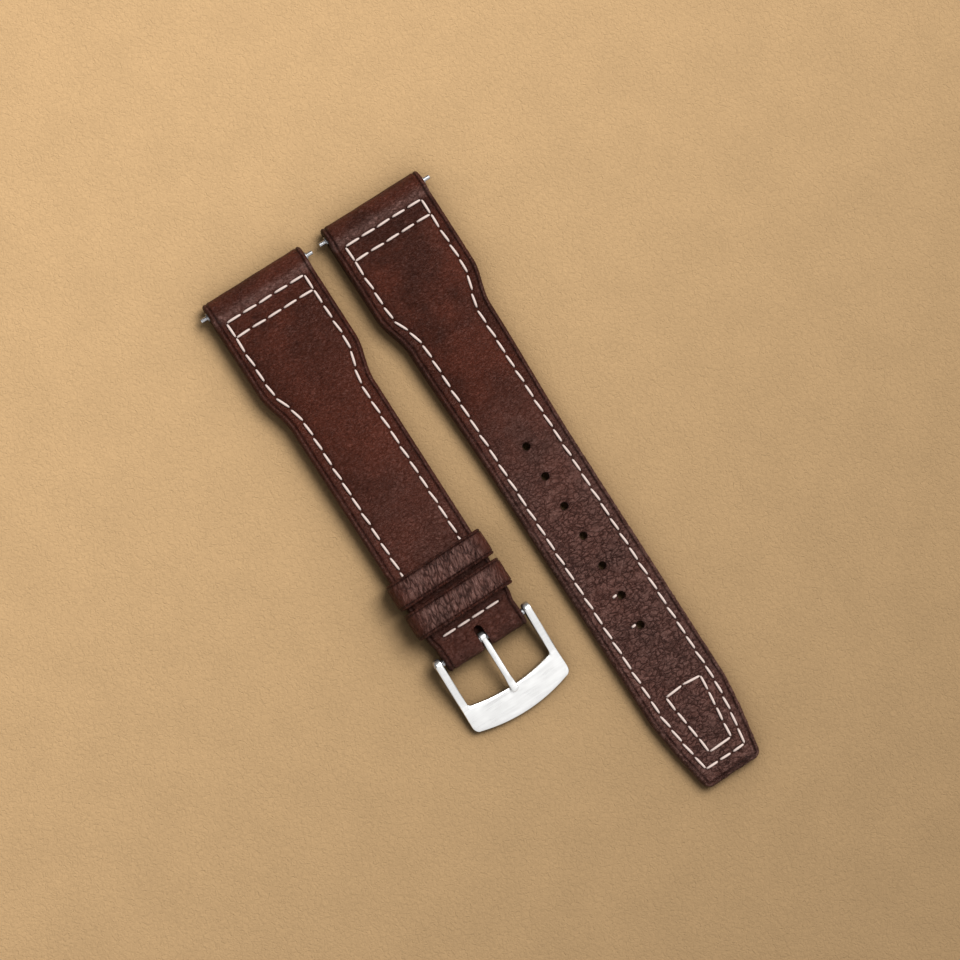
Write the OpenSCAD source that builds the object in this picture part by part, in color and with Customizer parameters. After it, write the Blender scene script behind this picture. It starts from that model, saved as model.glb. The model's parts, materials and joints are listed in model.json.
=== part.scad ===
// Two-piece padded leather watch strap with a pin buckle, two keepers and sprung bars.
// Each half is described from its lug end: "along" is the distance from that end, towards the tip.

/* [Leather] */
// Distance between the watch lugs
lug_w = 20; // [18:0.5:24]
// Gap between the leather and each lug
lug_gap = 0.25; // [0.1:0.05:0.4]
// Thickness of the top leather
cover_t = 1.1; // [0.9:0.1:1.4]
// Thickness of the lining leather
lining_t = 0.9; // [0.7:0.1:1.2]
// Thickness of the padding at the lug end
pad_head_t = 1.4; // [1:0.1:1.8]
// Thickness of the padding at the thin end
pad_tail_t = 0.3; // [0.2:0.1:0.6]
// Where the padding is down to its thin end
pad_until = 60; // [50:1:70]
// How far the middle swells above the edges at the lug end
crown_head = 0.9; // [0.4:0.1:1.2]
// How far the middle swells above the edges at the thin end
crown_tail = 0.2; // [0.1:0.1:0.4]
// Where the swell is down to its thin end
crown_until = 78; // [60:1:90]
// Radius of the rolled top edge
edge_r = 0.6; // [0.3:0.1:0.9]
// Where the wide head starts to narrow
shoulder_start = 18; // [14:0.5:20]
// Where the narrow body starts
shoulder_end = 26; // [23:0.5:30]
// Length of leather turned back under each bar
turned_len = 8; // [6:0.5:10]

/* [Long half] */
// Length of the long half
long_len = 115.6; // [105:0.5:125]
// How much narrower the body is than the head
long_body_taper = 3.2; // [2:0.1:5]
// How much the body narrows further towards the tip
long_tail_taper = 1; // [0:0.1:2]
// Where that narrowing is complete
tail_from = 52; // [40:1:60]
// Length of the tapered tip
tip_len = 15.2; // [12:0.2:18]
// How much narrower the tip is at its end
tip_taper = 4.4; // [3:0.1:6]
// Radius of the tip's corners
corner_r = 1.2; // [0.6:0.1:2]
// Diameter of the buckle holes
hole_d = 1.4; // [1.2:0.1:1.8]
// Number of buckle holes
hole_count = 7; // [5:1:8]
// Distance between the buckle holes
hole_pitch = 6; // [5:0.1:6.5]
// Distance from the last hole to the end of the tip
last_hole_from_end = 29.8; // [27:0.2:32]

/* [Short half] */
// Length of the short half
short_len = 74.6; // [70:0.2:84]
// How much narrower the body is than the head
short_body_taper = 3.1; // [2:0.1:5]
// How much narrower the fold round the buckle bar is than the body
fold_taper = 0.8; // [0.2:0.1:1.2]
// How far the fold's hem runs past the fixed keeper
hem_past = 1.4; // [1:0.1:2]
// Width of the slot for the tongue
slot_w = 2.2; // [1.8:0.1:3]
// How far the slot reaches behind the buckle bar
slot_back = 2.3; // [2.1:0.1:2.6]

/* [Stitching] */
// Distance from one stitch to the next
stitch_pitch = 3; // [2.6:0.1:3.6]
// Share of the pitch that shows as thread
stitch_share = 0.74; // [0.6:0.02:0.8]
// Diameter of the thread
thread_d = 0.44; // [0.3:0.02:0.6]
// First cross row, from the lug end
first_row = 4.75; // [4.6:0.05:5.5]
// Second cross row, from the lug end
second_row = 7.7; // [7:0.1:9]
// Distance from the edge to the stitches in the head
head_margin = 2; // [1.7:0.1:2.4]
// Distance from the edge to the stitches along the long half
long_margin = 2.1; // [1.8:0.1:2.4]
// Distance from the edge to the stitches along the short half
short_margin = 2.4; // [2:0.1:2.6]
// Distance from the end of the tip to its cross row
end_margin = 3.2; // [2.8:0.1:4]
// Length of the stitched box inside the tip
box_len = 11.5; // [9:0.1:12]
// Distance from the side stitches to the stitched box
box_margin = 2.05; // [1.6:0.05:2.4]
// Distance from the tip's cross row to the stitched box
box_gap = 2.2; // [1.8:0.1:3]
// Distance from the fold's edges to the ends of its cross row
fold_row_margin = 2.1; // [1.8:0.1:2.6]
// Distance from the buckle bar to that row
fold_row_back = 3.75; // [3.6:0.05:4]

/* [Keepers] */
// Width of each keeper along the strap
keeper_w = 5; // [4:0.1:6]
// Thickness of the keeper leather
keeper_t = 0.9; // [0.7:0.1:1.1]
// Gap between the two keepers
keeper_gap = 0.8; // [0.5:0.1:2]
// Distance from the buckle bar to the fixed keeper
keeper_back = 5.15; // [4.8:0.05:7]
// Gap between a keeper and the strap's edge
keeper_side = 0.15; // [0.12:0.01:0.3]
// Gap between a keeper and the strap's underside
keeper_under = 0.1; // [0.08:0.01:0.2]
// Radius of the keepers' outer corners
keeper_r = 1.6; // [1:0.1:2]

/* [Sprung bars] */
// Diameter of the tubes in the lug loops
lug_tube_d = 1.8; // [1.5:0.1:2]
// Diameter of the tube in the buckle's fold
buckle_tube_d = 1.5; // [1.5:0.05:1.8]
// Wall of the tubes
tube_wall = 0.2; // [0.15:0.01:0.22]
// Gap between a tube and the leather round it
tube_gap = 0.1; // [0.05:0.01:0.15]
// Gap round every pin that slides
pin_gap = 0.05; // [0.03:0.01:0.07]
// Diameter of the pins
pin_d = 0.8; // [0.7:0.02:0.82]
// Thickness of each flange on a pin
flange_t = 0.35; // [0.25:0.05:0.4]
// Depth of the groove between the two flanges
groove = 0.2; // [0.1:0.02:0.24]
// How far a tip stands out at a lug
tip_out = 1.1; // [0.9:0.1:1.3]

/* [Buckle] */
// Thickness of the side arms
arm_w = 1.4; // [1.2:0.05:1.6]
// Gap between the fold and each side arm
arm_gap = 0.45; // [0.4:0.05:0.7]
// Height of the side arms
arm_h = 2.4; // [2.1:0.1:2.8]
// Distance from the bar to the front bar, at the corners
front_in = 8.6; // [8:0.1:10]
// How far the front bar's inner edge bows out
front_in_bow = 1.1; // [0.6:0.1:1.6]
// Depth of the front bar at the corners
front_depth = 4.5; // [3.6:0.1:5]
// How far the front bar's outer edge bows out
front_out_bow = 1.65; // [1:0.05:2]
// Thickness of the front bar
front_t = 1.3; // [1:0.1:1.6]
// Width of the tongue
tongue_w = 1.1; // [0.9:0.05:1.3]
// Thickness of the tongue
tongue_t = 0.85; // [0.7:0.05:1]
// Length of the tongue in front of the bar
tongue_len = 10.8; // [10.2:0.1:12]

/* [Laid out] */
// Gap between the heads of the two halves
halves_gap = 4.4; // [3.8:0.1:20]
// How much lower the short half starts
short_step = 0.3; // [0:0.1:10]

/* [Hidden] */
$fn = 48;
// Bond line between two layers of leather
glue = 0.03;
// How far joined shapes run into each other, and how far a cut runs past its target
bury = 0.05;
over = 1;
// Room for a piece that slides, and room at the end of a pin's travel
slide_gap = 0.3;
travel_spare = 0.1;
face_gap = 0.05;
// Length over which the swell rises, and how sharply the tip rounds in
rise_len = 3;
tip_power = 1.35;
// How far the padding stays inside the last stitches
pad_inset = 1;
// Distances between the leather's cross-sections, from finest to widest
fine = 0.6;
medium = 1.5;
wide = 2.2;
widest = 11;
// Lip and collar that hold a pin in its tube, and how much smaller a flange is than the tube
lip_len = 0.3;
collar_len = 0.8;
flange_inset = 0.1;
// Inner corner radius of the keepers
crease_r = 0.1;

head_w = lug_w - 2 * lug_gap;
long_body_w = head_w - long_body_taper;
long_tail_w = long_body_w - long_tail_taper;
short_body_w = head_w - short_body_taper;
fold_w = short_body_w - fold_taper;
layers = lining_t + cover_t;
cover_z = lining_t + glue;
full_h = layers + pad_head_t + crown_head;
lug_bore_r = lug_tube_d / 2 + tube_gap;
lug_loop_r = lug_bore_r + cover_t;
fold_bore_r = buckle_tube_d / 2 + tube_gap;
fold_loop_r = fold_bore_r + cover_t;
fold_at = short_len - fold_loop_r;
turned_to = lug_loop_r + turned_len;
tip_from = long_len - tip_len;
fold_row = fold_at - fold_row_back;
end_row = long_len - end_margin;
box_to = end_row - box_gap;
fixed_at = fold_at - keeper_back - keeper_w;
free_at = fixed_at - keeper_gap - keeper_w;
hem_from = fixed_at - hem_past;
narrow_from = fixed_at + keeper_w + 2 * slide_gap;
narrow_to = fold_at - fold_loop_r - slide_gap;
first_hole = long_len - last_hole_from_end - (hole_count - 1) * hole_pitch;
keeper_top = max(2 * (layers + pad_tail_t + crown_tail), full_h + slide_gap);
keeper_half_in = short_body_w / 2 + keeper_side;
keeper_half_out = keeper_half_in + keeper_t;
keeper_drop = keeper_under + keeper_t;
arm_in = fold_w / 2 + arm_gap;
arm_out = arm_in + arm_w;
front_far = front_in + front_depth + front_out_bow;
front_top = -arm_h / 2 + front_t;
lug_travel = tip_out + travel_spare;
buckle_tip = arm_w - face_gap;
buckle_travel = buckle_tip + travel_spare;
halves_apart = head_w + halves_gap;

// The short half leans on its keepers, and the buckle drops until its front bar lies as low as the rest
lean_reach = free_at - lug_loop_r;
lean = atan2(lug_loop_r + keeper_drop, lean_reach)
    - asin(lug_loop_r / norm([lean_reach, lug_loop_r + keeper_drop]));
bar_height = lug_loop_r + (fold_loop_r - lug_loop_r) * cos(lean) + (fold_at - lug_loop_r) * sin(lean);
droop = asin(bar_height / norm([front_far, arm_h / 2])) - atan2(arm_h / 2, front_far) + lean;

function mix(a, b, t) = a + (b - a) * t;
function smooth(u, from, to) =
    let (t = min(max((u - from) / (to - from), 0), 1)) t * t * (3 - 2 * t);
function onward(from, to, step) =
    let (n = max(1, round((to - from) / step))) [for (i = [1 : n]) mix(from, to, i / n)];
function within(list, low, high) = [for (u = list) if (u > low && u < high) u];

// Half the width of the long half
function long_half_w(u) =
    let (body = mix(long_body_w, long_tail_w, smooth(u, shoulder_end, tail_from)),
        side = mix(head_w, body, smooth(u, shoulder_start, shoulder_end)) / 2,
        along = max(u - tip_from, 0) / tip_len,
        into = min(max(u - long_len + corner_r, 0), corner_r))
    side - tip_taper / 2 * pow(along, tip_power) - corner_r + sqrt(corner_r * corner_r - into * into);

// Half the width of the short half
function short_half_w(u) =
    mix(mix(head_w, short_body_w, smooth(u, shoulder_start, shoulder_end)),
        fold_w, smooth(u, narrow_from, narrow_to)) / 2;

// Distance from the centre line to the side stitches
function long_stitch_x(u) =
    min(long_half_w(min(u, long_len - corner_r)) - long_margin,
        mix(head_w / 2 - head_margin, long_tail_w / 2 - long_margin,
            smooth(u, shoulder_start, shoulder_end)));
function short_stitch_x(u) =
    min(short_half_w(u) - head_margin,
        mix(head_w / 2 - head_margin, short_body_w / 2 - short_margin,
            smooth(u, shoulder_start, shoulder_end)));

// Height of the top leather at the strap's edge
function pad(u) = mix(pad_head_t, pad_tail_t, smooth(u, turned_to, pad_until));
function lug_hump(u) = 1 - smooth(u, lug_loop_r, first_row);
function long_edge_z(u) = mix(layers + pad(u), 2 * lug_loop_r - bury, lug_hump(u));
function short_edge_z(u) =
    mix(long_edge_z(u), 2 * fold_loop_r - bury, smooth(u, fold_row + slide_gap, fold_at));

// How far the middle swells above the edge
function swell(u, rise_from) =
    mix(crown_head, crown_tail, smooth(u, shoulder_start, crown_until))
    * smooth(u, rise_from, rise_from + rise_len);
function long_crown(u) =
    swell(u, second_row) * (1 - smooth(u, end_row - end_margin, end_row + end_margin / 2));
function short_crown(u) = swell(u, second_row) * (1 - smooth(u, fold_row - rise_len, fold_row));
function dome(x, half) = 1 - pow(min(abs(x) / half, 1), 3);

// Top of either half at a point
function long_top(x, u) = long_edge_z(u) + long_crown(u) * dome(x, long_stitch_x(u));
function short_top(x, u) = short_edge_z(u) + short_crown(u) * dome(x, short_stitch_x(u));

// Cross-sections of the top leather and of the padding, as closed rings
dome_steps = [0.85, 0.6, 0.3, 0, -0.3, -0.6, -0.85];
function cover_ring(u, half, inner, edge, crown) = [
    [half, -u, cover_z],
    for (a = [0, 45, 90]) [half - edge_r * (1 - cos(a)), -u, edge - edge_r * (1 - sin(a))],
    [inner, -u, edge],
    for (s = dome_steps) [s * inner, -u, edge + crown * dome(s, 1)],
    [-inner, -u, edge],
    for (a = [90, 45, 0]) [-half + edge_r * (1 - cos(a)), -u, edge - edge_r * (1 - sin(a))],
    [-half, -u, cover_z]];
function pad_ring(u, inner, edge, crown, gap) =
    let (side = inner - cover_t / 4 - gap, low = lining_t + (glue + gap) / 2, high = edge - cover_t - gap) [
    [side, -u, low],
    [side, -u, high],
    for (s = dome_steps) [s * side, -u, high + crown * dome(s, 1)],
    [-side, -u, high],
    [-side, -u, low]];

// Closed solid through rings that all have the same number of points
module skin(rings) {
    n = len(rings[0]);
    last = len(rings) - 1;
    sides = [for (i = [0 : last - 1], j = [0 : n - 1])
        let (a = i * n + j, b = i * n + (j + 1) % n) each [[a, a + n, b + n], [a, b + n, b]]];
    caps = [[for (j = [0 : n - 1]) j], [for (j = [n - 1 : -1 : 0]) last * n + j]];
    polyhedron([for (ring = rings) each ring], concat(caps, sides));
}

// Distances at which the leather is cut into cross-sections
head_stations = concat([lug_loop_r], onward(lug_loop_r, first_row, fine),
    onward(first_row, shoulder_start, wide), onward(shoulder_start, shoulder_end, medium));
long_stations = concat(head_stations, onward(shoulder_end, tip_from, widest),
    onward(tip_from, long_len - corner_r, wide),
    [for (a = [30, 60, 90]) long_len - corner_r * (1 - sin(a))]);
short_stations = concat(head_stations, onward(shoulder_end, narrow_from, widest),
    onward(narrow_from, fold_at, fine));

// Flat leather, cut to the outline given by [half width, distance along] pairs
module lining_plate(sides) linear_extrude(lining_t)
    polygon(concat([for (s = sides) [s[0], -s[1]]],
        [for (i = [len(sides) - 1 : -1 : 0]) [-sides[i][0], -sides[i][1]]]));
function long_sides(from, to) =
    [for (u = concat([from], within(long_stations, from, to), [to])) [long_half_w(u), u]];
function short_sides(from, to) =
    [for (u = concat([from], within(short_stations, from, to), [to])) [short_half_w(u), u]];

// Round bar across the strap
module across(r, length) rotate([0, 90, 0]) cylinder(r = r, h = length, center = true);
module at_lug_bar() translate([0, -lug_loop_r, lug_loop_r]) children();
module at_fold_bar() translate([0, -fold_at, fold_loop_r]) children();

// Where each group lies
module lay_long() translate([halves_apart / 2, long_len / 2, 0]) children();
module lay_short() translate([-halves_apart / 2, long_len / 2 - short_step, 0])
    at_lug_bar() rotate([-lean, 0, 0]) translate([0, lug_loop_r, -lug_loop_r]) children();
module lay_buckle() lay_short() at_fold_bar() rotate([droop, 0, 0]) children();

// Distances at which the padding is cut; a gap above zero keeps it off the leather
pad_from = 2 * lug_loop_r + slide_gap;
function pad_stations(stations, to, gap) =
    concat([pad_from + gap], within(stations, pad_from + fine, to - pad_inset), [to - gap]);
module long_padding(gap) skin([for (u = pad_stations(long_stations, end_row - pad_inset, gap))
    pad_ring(u, long_stitch_x(u), long_edge_z(u), long_crown(u), gap)]);
module short_padding(gap) skin([for (u = pad_stations(short_stations, fold_row - pad_inset, gap))
    pad_ring(u, short_stitch_x(u), short_edge_z(u), short_crown(u), gap)]);

// Buckle holes through the long half
module holes() for (i = [0 : hole_count - 1])
    translate([0, -first_hole - i * hole_pitch, -over]) cylinder(d = hole_d, h = full_h + 2 * over);

// Top leather of the long half, turned round the lug bar and back underneath
module long_cover() color("#4a2a20") lay_long() difference() {
    union() {
        skin([for (u = long_stations)
            cover_ring(u, long_half_w(u), long_stitch_x(u), long_edge_z(u), long_crown(u))]);
        at_lug_bar() across(lug_loop_r, head_w);
        lining_plate(long_sides(lug_loop_r, turned_to));
    }
    long_padding(0);
    at_lug_bar() across(lug_bore_r, lug_w);
    holes();
}

module long_filler() color("#c9b79c") lay_long() difference() {
    long_padding(glue);
    holes();
}

module long_lining() color("#5b3628") lay_long() difference() {
    lining_plate(long_sides(turned_to + glue, long_len));
    holes();
}

// Top leather of the short half, turned round both bars
module short_cover() color("#4a2a20") lay_short() difference() {
    union() {
        skin([for (u = short_stations)
            cover_ring(u, short_half_w(u), short_stitch_x(u), short_edge_z(u), short_crown(u))]);
        at_lug_bar() across(lug_loop_r, head_w);
        at_fold_bar() across(fold_loop_r, fold_w);
        lining_plate(short_sides(lug_loop_r, turned_to));
        lining_plate(short_sides(hem_from, fold_at));
    }
    short_padding(0);
    at_lug_bar() across(lug_bore_r, lug_w);
    at_fold_bar() across(fold_bore_r, lug_w);
    translate([-slot_w / 2, -short_len - over, -over])
        cube([slot_w, fold_loop_r + slot_back + over, full_h + 2 * over]);
}

module short_filler() color("#c9b79c") lay_short() short_padding(glue);

module short_lining() color("#5b3628") lay_short()
    lining_plate(short_sides(turned_to + glue, hem_from - glue));

// One stitch: a short round bar from a to b
module stitch(a, b) {
    d = b - a;
    translate(a) rotate([0, acos(d.z / norm(d)), atan2(d.y, d.x)])
        cylinder(d = thread_d, h = norm(d), $fn = 16);
}

// The same stitch on the top and flat on the underside, between two points seen from above
module stitch_pair(p, q, top) {
    stitch([p.x, -p.y, top(p.x, p.y)], [q.x, -q.y, top(q.x, q.y)]);
    stitch([p.x, -p.y, thread_d / 2], [q.x, -q.y, thread_d / 2]);
}

// Even stitches along a way that is a function of the share covered
module row(length, way, top) {
    n = max(1, round(length / stitch_pitch));
    for (i = [0 : n - 1])
        stitch_pair(way((i + 0.5 - stitch_share / 2) / n), way((i + 0.5 + stitch_share / 2) / n), top);
}
module straight_row(a, b, top) row(norm(b - a), function (t) mix(a, b, t), top);
module cross_row(half, u, top) straight_row([-half, u], [half, u], top);
module side_row(from, to, side, at_x, top)
    row(to - from, function (t) [side * at_x(mix(from, to, t)), mix(from, to, t)], top);

// The two cross rows of the head and the stitches down both sides
module outline_rows(to, at_x, top) {
    for (u = [first_row, second_row]) cross_row(at_x(u), u, top);
    for (side = [-1, 1]) {
        side_row(first_row, second_row, side, at_x, top);
        side_row(second_row, to, side, at_x, top);
    }
}

module long_thread() color("#ece0d2") lay_long() {
    at_x = function (u) long_stitch_x(u);
    top = function (x, u) long_top(x, u);
    box_from = box_to - box_len;
    box_top = at_x(box_from) - box_margin;
    box_low = at_x(box_to) - box_margin;
    outline_rows(end_row, at_x, top);
    cross_row(at_x(end_row), end_row, top);
    cross_row(box_top, box_from, top);
    cross_row(box_low, box_to, top);
    for (side = [-1, 1]) straight_row([side * box_top, box_from], [side * box_low, box_to], top);
}

module short_thread() color("#ece0d2") lay_short()
    outline_rows(fixed_at, function (u) short_stitch_x(u), function (x, u) short_top(x, u));

module fold_thread() color("#ece0d2") lay_short()
    cross_row(fold_w / 2 - fold_row_margin, fold_row, function (x, u) short_top(x, u));

// Leather loop round the short half
module keeper(at) lay_short() translate([0, -at, 0]) rotate([90, 0, 0]) linear_extrude(keeper_w)
    difference() {
        rounded_box(keeper_half_out, -keeper_drop, keeper_top + keeper_t, keeper_r, keeper_r);
        rounded_box(keeper_half_in, -keeper_under, keeper_top, keeper_r - keeper_t / 2, crease_r);
    }
module rounded_box(half, low, high, top_r, low_r) {
    translate([-half, low + low_r]) square([2 * half, high - low - top_r - low_r]);
    translate([-half + top_r, high - top_r - bury]) square([2 * (half - top_r), top_r + bury]);
    translate([-half + low_r, low]) square([2 * (half - low_r), low_r + bury]);
    for (side = [-1, 1]) {
        translate([side * (half - top_r), high - top_r]) circle(top_r);
        translate([side * (half - low_r), low + low_r]) circle(low_r);
    }
}
module free_keeper() color("#452620") keeper(free_at);
module fixed_keeper() color("#452620") keeper(fixed_at);

// Sprung bar between two faces that are span apart: tube, spring, and a pin at each end
function half_tube(span, travel) = span / 2 - face_gap - 3 * flange_t - travel;
function bore_r(tube_d) = tube_d / 2 - tube_wall;
shank_r = (pin_d - tube_wall) / 2;
module bar_tube(span, tube_d, travel) {
    half = half_tube(span, travel);
    difference() {
        across(tube_d / 2, 2 * half);
        across(bore_r(tube_d), 2 * (half - lip_len));
        across(shank_r + pin_gap, 2 * (half + over));
    }
}
module bar_spring(span, tube_d, travel) {
    half = half_tube(span, travel) - lip_len - collar_len - 2 * face_gap;
    outer = bore_r(tube_d) - 2 * pin_gap;
    difference() {
        across(outer, 2 * half);
        across(outer - tube_wall, 2 * (half + over));
    }
}
module bar_pin(side, span, tube_d, travel, tip) rotate([0, side * 90, 0]) {
    mouth = half_tube(span, travel) - lip_len;
    seat = span / 2 - face_gap;
    flange_r = tube_d / 2 - flange_inset;
    translate([0, 0, mouth - face_gap - collar_len]) cylinder(r = bore_r(tube_d) - pin_gap, h = collar_len);
    translate([0, 0, mouth - 2 * face_gap]) cylinder(r = shank_r, h = seat - mouth);
    translate([0, 0, seat - 3 * flange_t]) cylinder(r = flange_r - groove, h = 3 * flange_t);
    for (i = [1, 3]) translate([0, 0, seat - i * flange_t]) cylinder(r = flange_r, h = flange_t);
    translate([0, 0, seat - flange_t]) cylinder(d = pin_d, h = flange_t + face_gap + tip);
}

module lug_tube() color("#b9bcc0") at_lug_bar() bar_tube(lug_w, lug_tube_d, lug_travel);
module lug_spring() color("#8d9196") at_lug_bar() bar_spring(lug_w, lug_tube_d, lug_travel);
module lug_pin(side) color("#d0d2d4") at_lug_bar() bar_pin(side, lug_w, lug_tube_d, lug_travel, tip_out);
module buckle_pin(side) color("#d0d2d4") lay_buckle()
    bar_pin(side, 2 * arm_in, buckle_tube_d, buckle_travel, buckle_tip);
module long_bar_tube() lay_long() lug_tube();
module long_bar_spring() lay_long() lug_spring();
module long_bar_left_pin() lay_long() lug_pin(-1);
module long_bar_right_pin() lay_long() lug_pin(1);
module short_bar_tube() lay_short() lug_tube();
module short_bar_spring() lay_short() lug_spring();
module short_bar_left_pin() lay_short() lug_pin(-1);
module short_bar_right_pin() lay_short() lug_pin(1);
module buckle_bar_tube() color("#b9bcc0") lay_buckle()
    bar_tube(2 * arm_in, buckle_tube_d, buckle_travel);
module buckle_bar_spring() color("#8d9196") lay_buckle()
    bar_spring(2 * arm_in, buckle_tube_d, buckle_travel);
module buckle_bar_left_pin() buckle_pin(-1);
module buckle_bar_right_pin() buckle_pin(1);

// Steel frame: two arms on the bar that fall to a broad curved front bar
module buckle_frame() color("#dcdad6") lay_buckle() difference() {
    intersection() {
        translate([0, 0, -arm_h]) linear_extrude(2 * arm_h) difference() {
            bowed(arm_out, front_in + front_depth, front_out_bow);
            bowed(arm_in, front_in, front_in_bow);
        }
        rotate([90, 0, -90]) linear_extrude(2 * (arm_out + over), center = true) {
            circle(arm_h / 2);
            polygon([[0, -arm_h / 2], [front_far + over, -arm_h / 2], [front_far + over, front_top],
                [front_in - arm_gap, front_top], [front_in / 2, (front_top + arm_h / 2) / 2],
                [0, arm_h / 2]]);
        }
    }
    across(pin_d / 2 + pin_gap, 2 * (arm_out + over));
}

// Flat shape from behind the bar to a bowed front edge
module bowed(half, depth, bow) {
    r = (half * half + bow * bow) / (2 * bow);
    translate([-half, -depth]) square([2 * half, depth + arm_h]);
    intersection() {
        translate([0, r - depth - bow]) circle(r, $fn = 96);
        translate([-half, -depth - bow - over]) square([2 * half, bow + over + bury]);
    }
}

// Steel tongue: an eye round the bar and a flat arm that lies on the front bar
module buckle_tongue() color("#d2d0cc") lay_buckle() {
    arm_low = front_top + bury;
    rotate([90, 0, -90]) difference() {
        linear_extrude(tongue_w, center = true) {
            circle(arm_low + tongue_t);
            translate([0, arm_low]) square([tongue_len, tongue_t]);
        }
        cylinder(r = buckle_tube_d / 2 + pin_gap, h = tongue_w + over, center = true);
    }
}

long_cover();
long_filler();
long_lining();
long_thread();
long_bar_tube();
long_bar_spring();
long_bar_left_pin();
long_bar_right_pin();
short_cover();
short_filler();
short_lining();
short_thread();
fold_thread();
short_bar_tube();
short_bar_spring();
short_bar_left_pin();
short_bar_right_pin();
free_keeper();
fixed_keeper();
buckle_frame();
buckle_tongue();
buckle_bar_tube();
buckle_bar_spring();
buckle_bar_left_pin();
buckle_bar_right_pin();
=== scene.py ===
"""Looks of a padded leather watch strap with a pin buckle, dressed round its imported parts."""

import json
import math
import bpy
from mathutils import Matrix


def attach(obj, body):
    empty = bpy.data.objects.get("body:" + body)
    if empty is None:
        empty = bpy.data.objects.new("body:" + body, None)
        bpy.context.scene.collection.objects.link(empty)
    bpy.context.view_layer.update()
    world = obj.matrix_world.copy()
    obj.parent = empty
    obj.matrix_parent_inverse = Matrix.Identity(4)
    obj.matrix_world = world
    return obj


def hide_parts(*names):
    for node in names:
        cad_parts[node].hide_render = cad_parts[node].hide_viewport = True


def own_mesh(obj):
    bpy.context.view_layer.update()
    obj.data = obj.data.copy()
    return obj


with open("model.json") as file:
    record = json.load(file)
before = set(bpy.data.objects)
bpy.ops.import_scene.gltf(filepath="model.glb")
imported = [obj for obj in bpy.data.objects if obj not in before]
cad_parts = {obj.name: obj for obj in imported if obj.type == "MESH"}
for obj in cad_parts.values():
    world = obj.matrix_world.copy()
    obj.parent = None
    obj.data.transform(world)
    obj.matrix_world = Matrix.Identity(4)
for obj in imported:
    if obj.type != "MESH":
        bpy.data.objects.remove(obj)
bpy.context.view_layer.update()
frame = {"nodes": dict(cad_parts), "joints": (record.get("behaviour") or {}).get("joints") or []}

from types import SimpleNamespace

import bmesh
import bpy
import numpy as np
from bpy.props import (
    FloatProperty,
    FloatVectorProperty,
    IntProperty,
    PointerProperty,
)
from mathutils import Matrix, Vector, noise

bl_info = {
    "name": "Leather Watch Strap",
    "version": (1, 0, 0),
    "blender": (4, 5, 0),
    "location": "View3D > Sidebar > Strap",
    "description": "Builds a padded leather watch strap with its buckle, keepers and sprung bars",
    "category": "Add Mesh",
}

JOINTS = {joint["name"]: joint for joint in frame["joints"]}
MM = 0.001
MERGE_MM = 1e-5
NOISE_SEED = 1  # noise_vector takes other offsets on each run unless it is seeded


# Sizes and colours


def length(name, millimetres, description):
    """A length in metres whose default is given in millimetres."""
    return FloatProperty(
        name=name, description=description, default=millimetres * MM,
        min=0, precision=5, subtype="DISTANCE", unit="LENGTH",
    )


def colour(name, red, green, blue, description):
    """A linear colour."""
    return FloatVectorProperty(
        name=name, description=description, default=(red, green, blue),
        min=0, max=1, subtype="COLOR",
    )


def srgb(red, green, blue):
    """Linear colour of three 8-bit display values."""
    return tuple(
        v / 12.92 if v <= 0.04045 else ((v + 0.055) / 1.055) ** 2.4
        for v in (red / 255, green / 255, blue / 255)
    )


class StrapSizes(bpy.types.PropertyGroup):
    """Outline, layers and holes of both halves"""

    head_width: length("Head width", 19.5, "Width at the lug ends")
    long_body: length("Long half, body", 16.3, "Width of the long half below its shoulders")
    long_tail: length("Long half, tail", 15.3, "Width of the long half where its tip starts")
    short_body: length("Short half, body", 16.4, "Width of the short half below its shoulders")
    fold_width: length("Fold width", 15.6, "Width where the short half folds round the buckle bar")
    shoulder_start: length("Shoulder start", 18, "Where the head starts to narrow")
    shoulder_end: length("Shoulder end", 26, "Where the head has narrowed to the body")
    tail_from: length("Tail start", 52, "Where the long half reaches its tail width")
    long_length: length("Long half length", 115.6, "From lug end to tip")
    short_length: length("Short half length", 74.6, "From lug end to the fold round the buckle bar")
    tip_length: length("Tip length", 15.2, "Length over which the tip narrows")
    tip_taper: length("Tip taper", 4.4, "How much narrower the tip ends")
    corner: length("Tip corner", 1.2, "Radius of the tip's two corners")
    narrow_from: length("Fold start", 68.1, "Where the short half starts to narrow to the fold")
    narrow_to: length("Fold narrowed", 70.4, "Where it has narrowed to the fold width")
    cover: length("Top leather", 1.1, "Thickness of the top leather")
    lining: length("Lining leather", 0.9, "Thickness of the underside leather")
    pad_head: length("Padding, head", 1.4, "Thickness of the padding at the lug end")
    pad_tail: length("Padding, tail", 0.3, "Thickness of the padding beyond the head")
    crown_head: length("Swell, head", 0.9, "How far the middle swells at the head")
    crown_tail: length("Swell, tail", 0.2, "How far the middle swells beyond the head")
    turned_to: length("Turned end", 10.1, "Where the top leather that is turned under ends")
    hem_from: length("Hem start", 61.1, "Where the leather turned under at the fold ends")
    lug_loop: length("Lug loop radius", 2.1, "Outer radius of the loop round the lug bar")
    lug_bore: length("Lug bore radius", 1, "Inner radius of that loop")
    fold_loop: length("Fold loop radius", 1.95, "Outer radius of the loop round the buckle bar")
    fold_bore: length("Fold bore radius", 0.85, "Inner radius of that loop")
    hole: length("Hole diameter", 1.4, "Diameter of the holes for the tongue")
    first_hole: length("First hole", 49.8, "Distance of the first hole from the lug end")
    hole_pitch: length("Hole pitch", 6, "Distance between holes")
    slot_width: length("Slot width", 1.55, "Width of the slot for the tongue")
    slot_from: length("Slot start", 70.35, "Where that slot starts")
    roll: length("Edge roll", 0.6, "Radius of the rolled top edge")
    hole_count: IntProperty(
        name="Holes", description="Number of holes for the tongue", default=7, min=1, max=12
    )


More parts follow.
